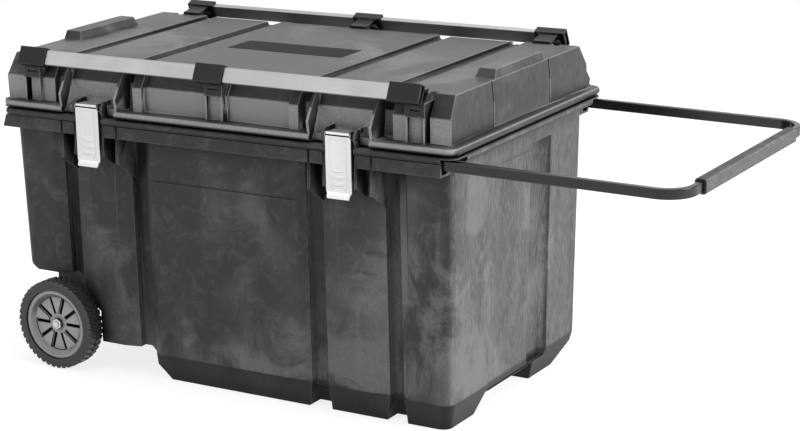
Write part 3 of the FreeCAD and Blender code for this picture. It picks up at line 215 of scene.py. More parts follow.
lamp("overhead", (0.4, 0.2, 3.0), aim=(0, 0, 0.3), size=2.0, power=50)
lamp("right_window", (3.4, 0.3, 1.6), aim=(0.4, 0, 0.3), size=1.6, power=80)
lamp("front_fill", (-1.6, -3.4, 1.6), aim=(0, 0, 0.3), size=2.0, power=14)
scene.view_settings.view_transform = "Standard"


# Tub: one thick-walled moulding in black polypropylene, with moulded columns, feet and wheel
# wells. Handling leaves cloudy smudges on its sides and fine upright scratches on its ends.
class Coating(Finish):
    """The shader of a new material, with the patterns that its wear and dust are mixed from."""

    def __init__(self, name):
        super().__init__(bpy.data.materials.new(name))

    def place(self, scale=(1, 1, 1)):
        """Object coordinates, stretched."""
        spot = self.add("ShaderNodeTexCoord", {}, output="Object")
        return self.add("ShaderNodeVectorMath", {"operation": "MULTIPLY"}, spot, scale)

    def facing(self, axis):
        """How far the surface faces along one of the piece's own axes, from -1 to 1."""
        normal = self.add("ShaderNodeTexCoord", {}, output="Normal")
        return self.add("ShaderNodeSeparateXYZ", {}, normal, output=axis)

    def noise(self, scale, detail=4.0, rough=0.55, stretch=(1, 1, 1), warp=0.0):
        """Clouds of a fixed pattern, from about 0.2 to 0.8. A small stretch makes long streaks."""
        sockets = {"Vector": self.place(stretch), "Scale": scale, "Detail": detail,
                   "Roughness": rough, "Distortion": warp}
        return self.add("ShaderNodeTexNoise", {}, sockets=sockets)

    def blend(self, share, low, high):
        """Colour between two colours."""
        sockets = {"Factor": share, 6: low, 7: high}
        return self.add("ShaderNodeMix", {"data_type": "RGBA"}, output=2, sockets=sockets)

    def open_to_air_and_light(self, reach):
        """1 on open surfaces, towards 0 in slots and corners. It places dust, and it places
        painted shade where it darkens a colour.
        """
        return self.add("ShaderNodeAmbientOcclusion", {"samples": 6}, output="AO",
                        sockets={"Distance": reach})

    def edge(self, radius):
        """How sharply the surface turns within a radius, from 0."""
        rounded = self.add("ShaderNodeBevel", {"samples": 4}, radius)
        flat = self.add("ShaderNodeNewGeometry", {}, output="Normal")
        same = self.add("ShaderNodeVectorMath", {"operation": "DOT_PRODUCT"}, rounded, flat,
                        output="Value")
        return 1.0 - same

    def bump(self, height, strength, depth):
        """Normal of a surface with a fine relief."""
        sockets = {"Strength": strength, "Distance": depth, "Height": height}
        return self.add("ShaderNodeBump", {}, sockets=sockets)

    def surface(self, **sockets):
        """Principled surface; a socket's name is written with _ for each space."""
        named = {key.replace("_", " "): value for key, value in sockets.items()}
        return self.finished(self.add("ShaderNodeBsdfPrincipled", {}, sockets=named))


SLOT_REACH = 0.03
EDGE_WEAR_AND_HIGHLIGHT_RADIUS = 0.003
FILM_FADE = 0.002
FOOT_FADE = (-0.004, 0.003)  # from and to, about the foot's crease
# Near-black that slots and corners are darkened to: painted shade.
SLOT_PAINTED_SHADE = grey(0.006)
BEYOND = 9.0  # a level that no piece reaches


def worn_plastic(name, base, dust, smudges, film, top_dust, streaks, gloss=0.42, edge_wear_and_highlight=1.0,
                 film_top=BEYOND, foot=-BEYOND, shine=0.22):
    """Moulded plastic: smudges on its sides above the foot, a film of dust up to film_top,
    more on top, scratched ends, edges lighter partly from rubbing and partly as a painted
    highlight, and slots without dust that are darkened as painted shade."""
    finish = Coating(name)
    cloud = finish.noise(5.0, detail=7.0, rough=0.62, warp=1.3).ease(0.44, 0.6)
    patch = finish.noise(2.4, detail=3.0, warp=0.5).ease(0.4, 0.6)
    wisp = finish.noise(24.0, detail=6.0, rough=0.72, warp=1.8).ease(0.48, 0.7)
    drip = finish.noise(30.0, detail=3.0, rough=0.6, stretch=(1, 1, 0.12),
                        warp=0.3).ease(0.5, 0.75)
    speck = finish.noise(520.0, detail=2.0, rough=0.7).ease(0.42, 0.72)
    level = finish.facing("Z")
    up = level.ease(0.6, 0.95)
    under = (0.0 - level).ease(0.05, 0.4)
    across = finish.facing("X")
    end = across.math("ABSOLUTE", across).ease(0.55, 0.95)
    scratch = finish.noise(300.0, detail=3.0, rough=0.65, stretch=(1, 1, 0.16)).ease(0.42, 0.66)
    sweep = finish.noise(16.0, rough=0.6, stretch=(2, 2, 0.35)).ease(0.38, 0.68)
    open_share = finish.open_to_air_and_light(SLOT_REACH)
    exposed_and_lit = open_share.ease(0.5, 0.97)
    # Convex edges are lightened, partly as rubbed wear and partly as a painted highlight.
    rubbed_and_highlit = finish.edge(EDGE_WEAR_AND_HIGHLIGHT_RADIUS).ease(0.015, 0.16) * exposed_and_lit
    height = finish.add("ShaderNodeSeparateXYZ", {}, finish.place(), output="Z")
    low = 1.0 - height.ease(film_top - FILM_FADE, film_top + FILM_FADE)
    # Below the foot's crease there is less dust and the base colour is darker.
    above_foot = height.ease(foot + FOOT_FADE[0], foot + FOOT_FADE[1])
    front = (1.0 - end) * (1.0 - up) * low * open_share.ease(0.25, 0.65)
    side = (cloud * patch * (speck * 0.5 + 0.6) + wisp * 0.22 + drip * patch * 0.3) * smudges
    worn = (scratch * 0.65 + sweep * 0.35 + 0.25) * streaks
    settled = up * top_dust * (cloud * 0.3 + speck * 0.25 + 0.6)
    coat = (side + settled + end * worn) * exposed_and_lit + (speck * 0.6 + 0.7) * film * front
    share = (coat * (1.0 - under) * (above_foot * 0.85 + 0.15) + rubbed_and_highlit * edge_wear_and_highlight).clamped()
    # Painted shade: the base colour darkens towards near-black in slots and corners and on faces
    # turned down.
    depth = exposed_and_lit * (1.0 - under * 0.6) * (above_foot * 0.65 + 0.35)
    base_with_painted_shade = finish.blend(depth, SLOT_PAINTED_SHADE, base)
    grain = finish.noise(1100.0, detail=2.0, rough=0.5)
    return finish.surface(Base_Color=finish.blend(share, base_with_painted_shade, dust),
                          Roughness=share * 0.25 + gloss, Specular_IOR_Level=shine,
                          Normal=finish.bump(grain + scratch * end * 0.8, strength=0.2,
                                             depth=0.0004))


RIM_HALF_DEPTH = 0.279
RIM_RIGHT = 0.478
RIM_CORNER = 0.020
TUB_BEAD = (-0.456, 0.471, 0.484)  # left end, lower and upper level
BEAD_ROUND = 0.0060
BEAD_CUTS = (0.0004, 0.0011, 0.0022, 0.0038, 0.0060)  # below and above the bead's edges
ON_CUT = 0.00001
FACE_MATCH = 0.0006
UPRIGHT = 0.99  # the least rise of the normal of a level face
FOOT_CREASE = 0.047
FOOT_HALF_DEPTH = 0.240
FOOT_FROM = 0.225  # the films lie further out than this


def cut_level(work, level):
    """Cuts the faces along a level plane, and keeps both sides."""
    bmesh.ops.bisect_plane(work, geom=work.verts[:] + work.edges[:] + work.faces[:],
                           plane_co=(0, 0, level), plane_no=(0, 0, 1), dist=ON_CUT)


def round_bead(work, left, low, high):
    """Rounds the outer edges of the bead round a rim, between two levels."""
    bmesh.ops.connect_verts_concave(work, faces=work.faces)
    for cut in BEAD_CUTS:
        cut_level(work, low + cut)
        cut_level(work, high - cut)
    for vert in work.verts:
        near = min(vert.co.z - low, high - vert.co.z)
        if near < -FACE_MATCH or near >= BEAD_ROUND:
            continue
        core = Vector((min(max(vert.co.x, left + RIM_CORNER), RIM_RIGHT - RIM_CORNER),
                       min(max(vert.co.y, RIM_CORNER - RIM_HALF_DEPTH),
                           RIM_HALF_DEPTH - RIM_CORNER), vert.co.z))
        out = vert.co - core
        if out.length > RIM_CORNER - FACE_MATCH:
            rise = BEAD_ROUND - max(near, 0.0)
            inward = BEAD_ROUND - math.sqrt(BEAD_ROUND ** 2 - rise ** 2)
            vert.co -= out.normalized() * inward


def open_slots(work):
    """Joins each slot of the tub to the notch below it, through the film left between them."""
    films = []
    targets = {}
    for face in work.faces:
        middle = face.calc_center_median()
        if (face.normal.z > -UPRIGHT or abs(middle.z - FOOT_CREASE) > FACE_MATCH
                or abs(middle.y) < FOOT_FROM):
            continue
        roof = [other for edge in face.edges for other in edge.link_faces
                if other.normal.z > UPRIGHT][0]
        inner = [vert for vert in roof.verts
                 if vert not in face.verts[:] and abs(vert.co.y) < FOOT_HALF_DEPTH - FACE_MATCH]
        for vert in face.verts:
            targets[vert] = min(inner, key=lambda other, vert=vert: (other.co - vert.co).length)
        films += [face, roof]
    bmesh.ops.delete(work, geom=films, context="FACES_ONLY")
    bmesh.ops.weld_verts(work, targetmap=targets)
    loose = [edge for edge in work.edges if not edge.link_faces]
    bmesh.ops.delete(work, geom=loose, context="EDGES")


def shape_tub(work):
    """Everything that the tub's plain solid leaves out."""
    open_slots(work)
    round_bead(work, *TUB_BEAD)


def fitted(item, body):
    """Evens the piece's shading and mounts it on its body."""
    weighted = item.modifiers.new("even_shading", "WEIGHTED_NORMAL")
    weighted.keep_sharp = True
    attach(item, body)


DOUBLES = 0.00002
COPLANAR = math.radians(0.6)
SHARP = math.radians(28)
ROOM_SHARE = 0.42  # of the shortest edge beside it, the most that an edge is eased by
ROUNDED_WEIGHT = 0.2  # an edge eased less than this stays sharp in the shading


def dressed(node, body, material, ease, segments=2, reshape=None):
    """Copy of a CAD node that stands for it. An edge with little room is eased less."""
    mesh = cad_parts[node].data.copy()
    mesh.materials.clear()
    mesh.materials.append(material)
    work = bmesh.new()
    work.from_mesh(mesh)
    bmesh.ops.remove_doubles(work, verts=work.verts, dist=DOUBLES)
    bmesh.ops.dissolve_limit(work, angle_limit=COPLANAR, verts=work.verts, edges=work.edges)
    if reshape:
        reshape(work)
    weight = work.edges.layers.float.new("bevel_weight_edge")
    for edge in work.edges:
        if not edge.is_convex or edge.calc_face_angle(0.0) < SHARP:
            continue
        near = [other.calc_length() for vert in edge.verts for other in vert.link_edges]
        edge[weight] = min(1.0, ROOM_SHARE * min(near) / ease)
        edge.smooth = edge[weight] > ROUNDED_WEIGHT
    for face in work.faces:
        face.smooth = True
        face.material_index = 0
    work.to_mesh(mesh)
    work.free()
    item = placed(node + "_skin", mesh)
    bevel = item.modifiers.new("eased_edges", "BEVEL")
    bevel.width = ease
    bevel.segments = segments
    bevel.limit_method = "WEIGHT"
    bevel.use_clamp_overlap = False
    fitted(item, body)
    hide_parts(node)


TUB_BASE = grey(0.040, warmth=-0.10)
TUB_DUST = grey(0.21, warmth=-0.015)
MOULD_EASE = 0.0014
tub_material = worn_plastic("tub_plastic", TUB_BASE, TUB_DUST, smudges=1.1, film=0.01,
                            top_dust=0.35, streaks=0.72, foot=FOOT_CREASE)
dressed("tub", "box", tub_material, MOULD_EASE, reshape=shape_tub)


# Lid: a hollow moulding like the tub's, with sunken grooves over the top. Dust settles on its
# flat top and on its front, and turns them a warm grey.
LID_BEAD = (-0.4575, 0.486, 0.499)  # left end, lower and upper level
LID_CREASE = 0.541
LID_BASE = grey(0.034, warmth=-0.04)
LID_DUST = grey(0.42, warmth=0.012)
lid_material = worn_plastic("lid_plastic", LID_BASE, LID_DUST, smudges=0.2, film=1.05,
                            top_dust=0.1, streaks=0.1, film_top=LID_CREASE)


def shape_lid(work):
    """The round bead that the lid's plain solid leaves out."""
    round_bead(work, *LID_BEAD)


dressed("lid", "lid", lid_material, MOULD_EASE, reshape=shape_lid)


# Badge plate: a plain dark plate, moulded in satin plastic and snapped into a sunken place in
# the middle of the lid.
PLATE_DARK = grey(0.005)
PLATE_LIGHT = grey(0.012)
PLATE_EASE = 0.0008
plate_finish = Coating("plate_plastic")
plate_grain = plate_finish.noise(700.0, detail=2.0)
plate_material = plate_finish.surface(
    Base_Color=plate_finish.blend(plate_finish.noise(30.0), PLATE_DARK, PLATE_LIGHT),
    Roughness=plate_grain * 0.1 + 0.5, Specular_IOR_Level=0.06,
    Normal=plate_finish.bump(plate_grain, strength=0.1, depth=0.0003))
dressed("badge_plate", "lid", plate_material, PLATE_EASE)


# Seal: a closed ring of foam rubber, pressed into a groove inside the lid's rim. It lies just
# clear of the tub's rim.
FOAM_DARK = grey(0.01)
FOAM_LIGHT = grey(0.04)
SEAL_EASE = 0.0005
foam_finish = Coating("seal_foam")
foam_grain = foam_finish.noise(1500.0, detail=3.0)
foam_material = foam_finish.surface(
    Base_Color=foam_finish.blend(foam_grain, FOAM_DARK, FOAM_LIGHT), Roughness=0.95,
    Normal=foam_finish.bump(foam_grain, strength=0.5, depth=0.0006))
dressed("lid_seal", "lid", foam_material, SEAL_EASE)


# Rails: two satin anodised aluminium extrusions along the lid's long edges. Three moulded
# plastic clips hold each of them.
CREASE_REACH = 0.005
CREASE_PAINTED_SHADE = grey(0.06)


def drawn_metal(name, dark, light, rough, stretch, scale=240.0, bumpiness=0.12):
    """Metal with fine lines along the way it was drawn or brushed, darkened in creases and corners
    as painted shade.
    """
    finish = Coating(name)
    line = finish.noise(scale, rough=0.6, stretch=stretch)
    stain = finish.noise(9.0, rough=0.6).ease(0.35, 0.75)
    # Painted shade: the metal darkens to grey in creases and corners.
    crease = finish.open_to_air_and_light(CREASE_REACH).ease(0.3, 0.9)
    bright = finish.blend(line * 0.6 + stain * 0.4, dark, light)
    colour = finish.blend(crease, CREASE_PAINTED_SHADE, bright)
    return finish.surface(Base_Color=colour, Metallic=1.0, Roughness=line * 0.16 + rough,
                          Normal=finish.bump(line, bumpiness, depth=0.0002))


RAIL_EASE = 0.0004
CLIP_EASE = 0.0009
rail_material = drawn_metal("rail_aluminium", dark=grey(0.34, warmth=0.01),
                            light=grey(0.5, warmth=0.01), rough=0.34, stretch=(0.04, 1, 1))
clip_material = worn_plastic("clip_plastic", grey(0.009, warmth=-0.05), grey(0.11), smudges=0.08,
                             film=0.0, top_dust=0.05, streaks=0.05, gloss=0.32, edge_wear_and_highlight=0.6,
                             shine=0.25)
for face in ("front", "back"):
    dressed(f"rail_{face}", "lid", rail_material, RAIL_EASE)
    for part in ("left", "middle", "right"):
        dressed(f"rail_clip_{face}_{part}", "lid", clip_material, CLIP_EASE)


# Handle: a U bent from flat steel bar and painted satin black. Its two rods slide in channels
# under the tub's rim.
PAINT_BLACK = grey(0.006)
PAINT_WORN = grey(0.02)
BAR_EASE = 0.0022
paint_finish = Coating("black_paint")
orange_peel = paint_finish.noise(420.0, detail=2.0)
wear = paint_finish.noise(14.0, detail=5.0, rough=0.7, stretch=(0.3, 1, 1)).ease(0.6, 0.75)
paint_material = paint_finish.surface(
    Base_Color=paint_finish.blend(wear, PAINT_BLACK, PAINT_WORN),
    Roughness=wear * 0.2 + 0.22, Specular_IOR_Level=0.5,
    Normal=paint_finish.bump(orange_peel, strength=0.08, depth=0.0003))
dressed("handle_frame", "handle", paint_material, BAR_EASE, segments=3)


# Grip: soft rubber moulded over the handle's outer bar, with even rows of pimples along its top
# and its outer face.
GRIP_BLACK = grey(0.03)
GRIP_PALE = grey(0.17)
GRIP_EASE = 0.0004
rubber_finish = Coating("grip_rubber")
grip_dust = rubber_finish.noise(60.0, rough=0.7).ease(0.4, 0.7)
# The face toward +x is made lighter, besides the random dust.
outward_share = rubber_finish.facing("X").ease(0.2, 0.9)
rubber_material = rubber_finish.surface(
    Base_Color=rubber_finish.blend((grip_dust * 0.4 + outward_share * 0.6).clamped(), GRIP_BLACK,
                                   GRIP_PALE),
    Roughness=grip_dust * 0.15 + 0.7,
    Normal=rubber_finish.bump(rubber_finish.noise(1100.0), strength=0.3, depth=0.0004))
dressed("handle_grip", "handle", rubber_material, GRIP_EASE)


def piece_of(name, parts, material, body):
    """One piece joined from plain meshes, each with the matrix that puts it in place."""
    work = bmesh.new()
    for mesh, spot in parts:
        set_down = mesh.copy()
        set_down.transform(spot)
        work.from_mesh(set_down)
    for face in work.faces:
        face.smooth = True
        face.material_index = 0
    item = placed(name, mesh_from(work, name))
    item.data.materials.append(material)
    fitted(item, body)
    return item


class Pattern(Nodes):
    """A geometry tree with named number inputs, which ends as a plain mesh."""

    def __init__(self, name, **sizes):
        super().__init__(bpy.data.node_groups.new(name, "GeometryNodeTree"))
        self.values = sizes
        for key in sizes:
            self.tree.interface.new_socket(key, in_out="INPUT", socket_type="NodeSocketFloat")
        self.tree.interface.new_socket("Geometry", in_out="OUTPUT",
                                       socket_type="NodeSocketGeometry")
        self.start = self.tree.nodes.new("NodeGroupInput")

    def size(self, key):
        """The named input."""
        return Wire(self, self.start.outputs[key])

    def mesh(self, shape, material):
        """The shape's mesh, with its copies made real."""
        real = self.add("GeometryNodeRealizeInstances", {}, shape)
        coated = self.add("GeometryNodeSetMaterial", {},
                          sockets={"Geometry": real, "Material": material})
        last = self.tree.nodes.new("NodeGroupOutput")
        self.tree.links.new(coated.socket, last.inputs["Geometry"])
        holder = placed("pattern", bpy.data.meshes.new("pattern"))
        modifier = holder.modifiers.new("pattern", "NODES")
        modifier.node_group = self.tree
        for item in self.tree.interface.items_tree:
            if item.in_out == "INPUT":
                modifier[item.identifier] = float(self.values[item.name])
        bpy.context.view_layer.update()
        graph = bpy.context.evaluated_depsgraph_get()
        made = bpy.data.meshes.new_from_object(holder.evaluated_get(graph))
        bpy.data.objects.remove(holder)
        return made


GRIP_LENGTH = 0.378
GRIP_WIDTH = 0.020
GRIP_HEIGHT = 0.0245
GRIP_ROUND = 0.005
PIMPLE_PITCH = 0.0030
PIMPLE_RADIUS = 0.0011
PIMPLE_SQUASH = 0.35
DOME_LEVELS = 2
HANDLE_DROOP = math.radians(0.7)
QUARTER_TURN = math.radians(90)


def pimples(name, width):
    """A strip of low domes in even rows, along x, facing z."""
    pattern = Pattern(name, length=GRIP_LENGTH, width=width, pitch=PIMPLE_PITCH,
                      radius=PIMPLE_RADIUS)
    length = pattern.size("length")
    across = pattern.size("width")
    pitch = pattern.size("pitch")
    rows = pattern.add("ShaderNodeMath", {"operation": "DIVIDE"}, across, pitch)
    ranks = pattern.add("ShaderNodeMath", {"operation": "DIVIDE"}, length, pitch)
    spots = pattern.add("GeometryNodeMeshGrid", {}, length, across, ranks, rows)
    dome = pattern.add("GeometryNodeMeshIcoSphere", {}, pattern.size("radius"), DOME_LEVELS)
    covered = pattern.add("GeometryNodeInstanceOnPoints", {}, sockets={
        "Points": spots, "Instance": dome, "Scale": (1, 1, PIMPLE_SQUASH)})
    return pattern.mesh(covered, rubber_material)


grip_low, grip_high = [Vector(corner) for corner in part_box("handle_grip")]
grip_middle = (grip_low + grip_high) / 2
along_bar = Matrix.Rotation(QUARTER_TURN, 4, "Z")
to_grip = Matrix.Translation(grip_middle) @ Matrix.Rotation(HANDLE_DROOP, 4, "Y")
upward = Matrix.Translation((0, 0, GRIP_HEIGHT / 2)) @ along_bar
outward = (Matrix.Translation((GRIP_WIDTH / 2, 0, 0)) @ Matrix.Rotation(QUARTER_TURN, 4, "Y")
           @ along_bar)
piece_of("grip_pimples",
         [(pimples("top_pimples", GRIP_WIDTH - 2 * GRIP_ROUND), to_grip @ upward),
          (pimples("outer_pimples", GRIP_HEIGHT - 2 * GRIP_ROUND), to_grip @ outward)],
         rubber_material, "handle")


# Stops and liners of the handle: nylon blocks pressed onto the ends of its rods, and nylon
# liners pressed into the tub's channels, so that the bar slides without rattling.
STOP_EASE = 0.0006
LINER_EASE = 0.0003
liner_material = worn_plastic("liner_plastic", grey(0.02), grey(0.07), smudges=0.2, film=0.1,
                              top_dust=0.1, streaks=0.1)
for face in ("front", "back"):
    dressed(f"handle_stop_{face}", "handle", liner_material, STOP_EASE)
    dressed(f"handle_guide_{face}", "box", liner_material, LINER_EASE)


# Tyres: black rubber, moulded with a smooth wall and two rows of slanting lugs, and stretched
# over the wheels.
WHEEL_X = -0.361
WHEEL_Y = 0.262
WHEEL_Z = 0.0837
WHEEL_STEPS = 120
# Turned profiles are (radius, place along the axle) points.
CARCASS = [(0.06545, -0.019), (0.067, -0.019), (0.0785, -0.0188), (0.0806, -0.0174),
           (0.0814, -0.0148), (0.0814, 0.0148), (0.0806, 0.0174), (0.0785, 0.0188),
           (0.067, 0.019), (0.06545, 0.019)]
LUG_COUNT = 42
LUG_SLANT = math.radians(26)
LUG_HALF = 0.0042
LUG_FROM = 0.0012
LUG_TO = 0.0184
LUG_FOOT = 0.0775
LUG_TOP = 0.08355
LUG_SHOULDER = 0.0826
LUG_EASE = 0.0005
wheel_places = {
    "front": (Matrix.Translation((WHEEL_X, -WHEEL_Y, WHEEL_Z))
              @ Matrix.Rotation(math.pi, 4, "Z")),
    "back": Matrix.Translation((WHEEL_X, WHEEL_Y, WHEEL_Z))}


def lathed(profile, steps=WHEEL_STEPS, closed=True):
    """Ring turned about the wheel's own axle, y, from (radius, place along it) points, or a
    solid whose ends are flat."""
    work = bmesh.new()
    rings = []
    for step in range(steps):
        angle = 2 * math.pi * step / steps
        rings.append([work.verts.new((radius * math.sin(angle), level, radius * math.cos(angle)))
                      for radius, level in profile])
    count = len(profile)
    for step in range(steps):
        ring = rings[step]
        following = rings[(step + 1) % steps]
        for place in range(count if closed else count - 1):
            after = (place + 1) % count
            work.faces.new((ring[place], ring[after], following[after], following[place]))
    if not closed:
        for end in (0, count - 1):
            work.faces.new([ring[end] for ring in rings])
    bmesh.ops.recalc_face_normals(work, faces=work.faces)
    return mesh_from(work, "turned")


def block(corners, ease):
    """Closed block of two quads of corners, lower then upper, with eased edges."""
    work = bmesh.new()
    verts = [work.verts.new(corner) for corner in corners]
    for index in ((3, 2, 1, 0), (4, 5, 6, 7), (0, 1, 5, 4), (1, 2, 6, 5), (2, 3, 7, 6),
                  (3, 0, 4, 7)):
        work.faces.new([verts[spot] for spot in index])
    bmesh.ops.bevel(work, geom=work.edges[:], offset=ease, segments=1, affect="EDGES")
    bmesh.ops.recalc_face_normals(work, faces=work.faces)
    return mesh_from(work, "block")


def round_axle(name, mesh, count, first, material):
    """The mesh repeated evenly round the y axis."""
    sample = bpy.data.objects.new(name + "_one", mesh)
    pattern = Pattern(name, count=count, first=first)
    total = pattern.size("count")
    spots = pattern.add("GeometryNodePoints", {}, total)
    index = pattern.add("GeometryNodeInputIndex", {})
    turn = pattern.add("ShaderNodeMath", {"operation": "DIVIDE"}, index * (2 * math.pi), total)
    spin = pattern.add("ShaderNodeCombineXYZ", {}, 0.0, turn + pattern.size("first"), 0.0)
    item = pattern.add("GeometryNodeObjectInfo", {}, sample, output="Geometry")
    ring = pattern.add("GeometryNodeInstanceOnPoints", {}, sockets={
        "Points": spots, "Instance": item, "Rotation": spin})
    made = pattern.mesh(ring, material)
    bpy.data.objects.remove(sample)
    return made


def lug(side):
    """Tyre lug at the top of the wheel, slanting back from the middle to the shoulder."""
    corners = []
    for top in (False, True):
        for across, along in ((-1, LUG_FROM), (1, LUG_FROM), (1, LUG_TO), (-1, LUG_TO)):
            height = LUG_FOOT
            if top:
                height = LUG_TOP if along == LUG_FROM else LUG_SHOULDER
            shift = along * math.tan(LUG_SLANT)
            corners.append((across * LUG_HALF + shift, side * along, height))
    return block(corners, LUG_EASE)


tyre_material = worn_plastic("tyre_rubber", grey(0.02), grey(0.13, warmth=0.01), smudges=0.5,
                             film=0.05, top_dust=0.25, streaks=0.1, shine=0.5)
for face, place in wheel_places.items():
    inner_lugs = round_axle(f"inner_lugs_{face}", lug(-1), LUG_COUNT, 0.0, tyre_material)
    outer_lugs = round_axle(f"outer_lugs_{face}", lug(1), LUG_COUNT, math.pi / LUG_COUNT,
                            tyre_material)
    tyre = piece_of(f"tyre_{face}_skin",
                    [(mesh, place) for mesh in (lathed(CARCASS), inner_lugs, outer_lugs)],
                    tyre_material, f"wheel_{face}")
    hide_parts(f"tyre_{face}")


# Wheels: moulded in grey plastic, with a raised fan between their slots, a dished ring inside
# the rim and a thin disc behind the slots.
DISH = [(0.0572, 0.0156), (0.0565, 0.0158), (0.0548, 0.0125), (0.0515, 0.0085),
        (0.0495, 0.0068), (0.0572, 0.0068)]
BACKING = [(0.0140, -0.0040), (0.0140, -0.0050), (0.0575, -0.0050), (0.0575, -0.0040)]
FAN_COUNT = 5
FAN_RADII = (0.0195, 0.0525)
FAN_HALVES = (0.0030, 0.0132)
FAN_LEVELS = (0.0062, 0.0096)
FAN_DRAFT = 0.0012
FAN_EASE = 0.0004
HUB_EASE = 0.0012


def fan_blade():
    """Raised sector of the wheel's web, at the top of the wheel."""
    corners = []
    for level, shrink in zip(FAN_LEVELS, (0.0, FAN_DRAFT)):
        for radius, half, inward in zip(FAN_RADII, FAN_HALVES, (1, -1)):
            place = radius + inward * shrink
            row = [(-half + shrink, level, place), (half - shrink, level, place)]
            corners.extend(row if inward == 1 else row[::-1])
    return block(corners, FAN_EASE)


wheel_material = worn_plastic("wheel_plastic", grey(0.50), grey(0.75), smudges=0.3, film=0.1,
                              top_dust=0.1, streaks=0.0, edge_wear_and_highlight=0.6)
for face, place in wheel_places.items():
    fan = round_axle(f"fan_{face}", fan_blade(), FAN_COUNT, 0.0, wheel_material)
    piece_of(f"wheel_fan_{face}",
             [(mesh, place) for mesh in (fan, lathed(DISH), lathed(BACKING))],
             wheel_material, f"wheel_{face}")
    dressed(f"wheel_hub_{face}", f"wheel_{face}", wheel_material, HUB_EASE)


# Axle: one plain zinc-plated steel bar through both wheels. A push nut on each end keeps the
# wheel on, and a nylon washer spaces it from the tub.
NUT_FLATS = 6
NUT_RADIUS = 0.0106
NUT_LEVELS = (0.0075, 0.0128, 0.0134)
NUT_CHAMFER = 0.0012
TIP_STEPS = 48
TIP_RADIUS = 0.0055
TIP_TAPER = 0.7
TIP_LEVELS = (0.0145, 0.0160)
AXLE_EASE = 0.0006
NUT_PROFILE = [(NUT_RADIUS, NUT_LEVELS[0]), (NUT_RADIUS, NUT_LEVELS[1]),
               (NUT_RADIUS - NUT_CHAMFER, NUT_LEVELS[2])]
TIP_PROFILE = [(TIP_RADIUS, NUT_LEVELS[0]), (TIP_RADIUS, TIP_LEVELS[0]),
               (TIP_RADIUS * TIP_TAPER, TIP_LEVELS[1])]
pin_material = drawn_metal("pin_steel", dark=grey(0.48), light=grey(0.74), rough=0.22,
                           stretch=(1, 1, 1), scale=160.0)
dressed("axle", "box", pin_material, AXLE_EASE)
for face, place in wheel_places.items():
    nut = piece_of(f"axle_nut_{face}_skin",
                   [(lathed(NUT_PROFILE, steps=NUT_FLATS, closed=False), place),
                    (lathed(TIP_PROFILE, steps=TIP_STEPS, closed=False), place)],
                   pin_material, "box")
    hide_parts(f"axle_nut_{face}")
    dressed(f"wheel_spacer_{face}", "box", liner_material, LINER_EASE)


# Latches: zinc-plated draw latches. The lever is pressed from sheet, with folded sides, a
# sunken panel, three finger ribs and a flared lip, and a claw is hinged on its top edge.
LATCH_X = 0.260
LATCH_FACE = -0.282
LEVER_HALF = 0.025
LEVER_FOLD = 0.0022
LEVER_SHEET = 0.0015
FLANGE_DEPTH = 0.0075
FLANGE_FROM = 0.4250
FLANGE_RISE = 0.006
FOLD_TURNS = (30, 60)
LEVER_TOP = 0.501
LIP_LINE = [(0.4060, 0.0), (0.4045, 0.0004), (0.4025, 0.0012), (0.4005, 0.0022),
            (0.3985, 0.0033), (0.3965, 0.0044), (0.3955, 0.0049)]
LIP_CORNERS = (0.0022, 0.0022, 0.0022, 0.0023, 0.0025, 0.0032, 0.0045)
LIP_RISE = 0.0025
PANEL_HALF = 0.0165
PANEL_RANGE = (0.4095, 0.4965)
PANEL_CORNER = 0.006
PANEL_DEPTH = 0.0016
PANEL_SLOPE = 0.0009
MITRE = 0.707  # cuts the panel's lower corners at 45 degrees
RIB_LEVELS = (0.4418, 0.4301, 0.4184)
RIB_HALF = 0.0088
RIB_ROUND = 0.0026
RIB_HEIGHT = 0.0019
RIB_FLANK = 0.75
SHEET_STEP = 0.001
# The ear's outline is (depth, level) points, and the lip's line is (level, flare) points.
EAR = [(-0.2820, 0.4985), (-0.2820, 0.5035), (-0.2808, 0.5066), (-0.2788, 0.5078),
       (-0.2766, 0.5070), (-0.2747, 0.5040), (-0.2747, 0.4985)]


def eased(value, low, high):
    """0 below low, 1 above high and a smooth step between."""
    share = min(max((value - low) / (high - low), 0.0), 1.0)
    return share * share * (3 - 2 * share)


def pressing(across, level):
    """How far the lever's face is pressed in at a point, or out where it is negative."""
    inside = PANEL_HALF - abs(across)
    above = level - PANEL_RANGE[0]
    edge = min(inside, above, PANEL_RANGE[1] - level, (inside + above - PANEL_CORNER) * MITRE)
    depth = PANEL_DEPTH * eased(edge, -PANEL_SLOPE, PANEL_SLOPE)
    for rib in RIB_LEVELS:
        away = math.hypot(max(abs(across) - RIB_HALF, 0.0), level - rib)
        depth -= RIB_HEIGHT * eased(RIB_ROUND - away, 0.0, RIB_ROUND * RIB_FLANK)
    return depth


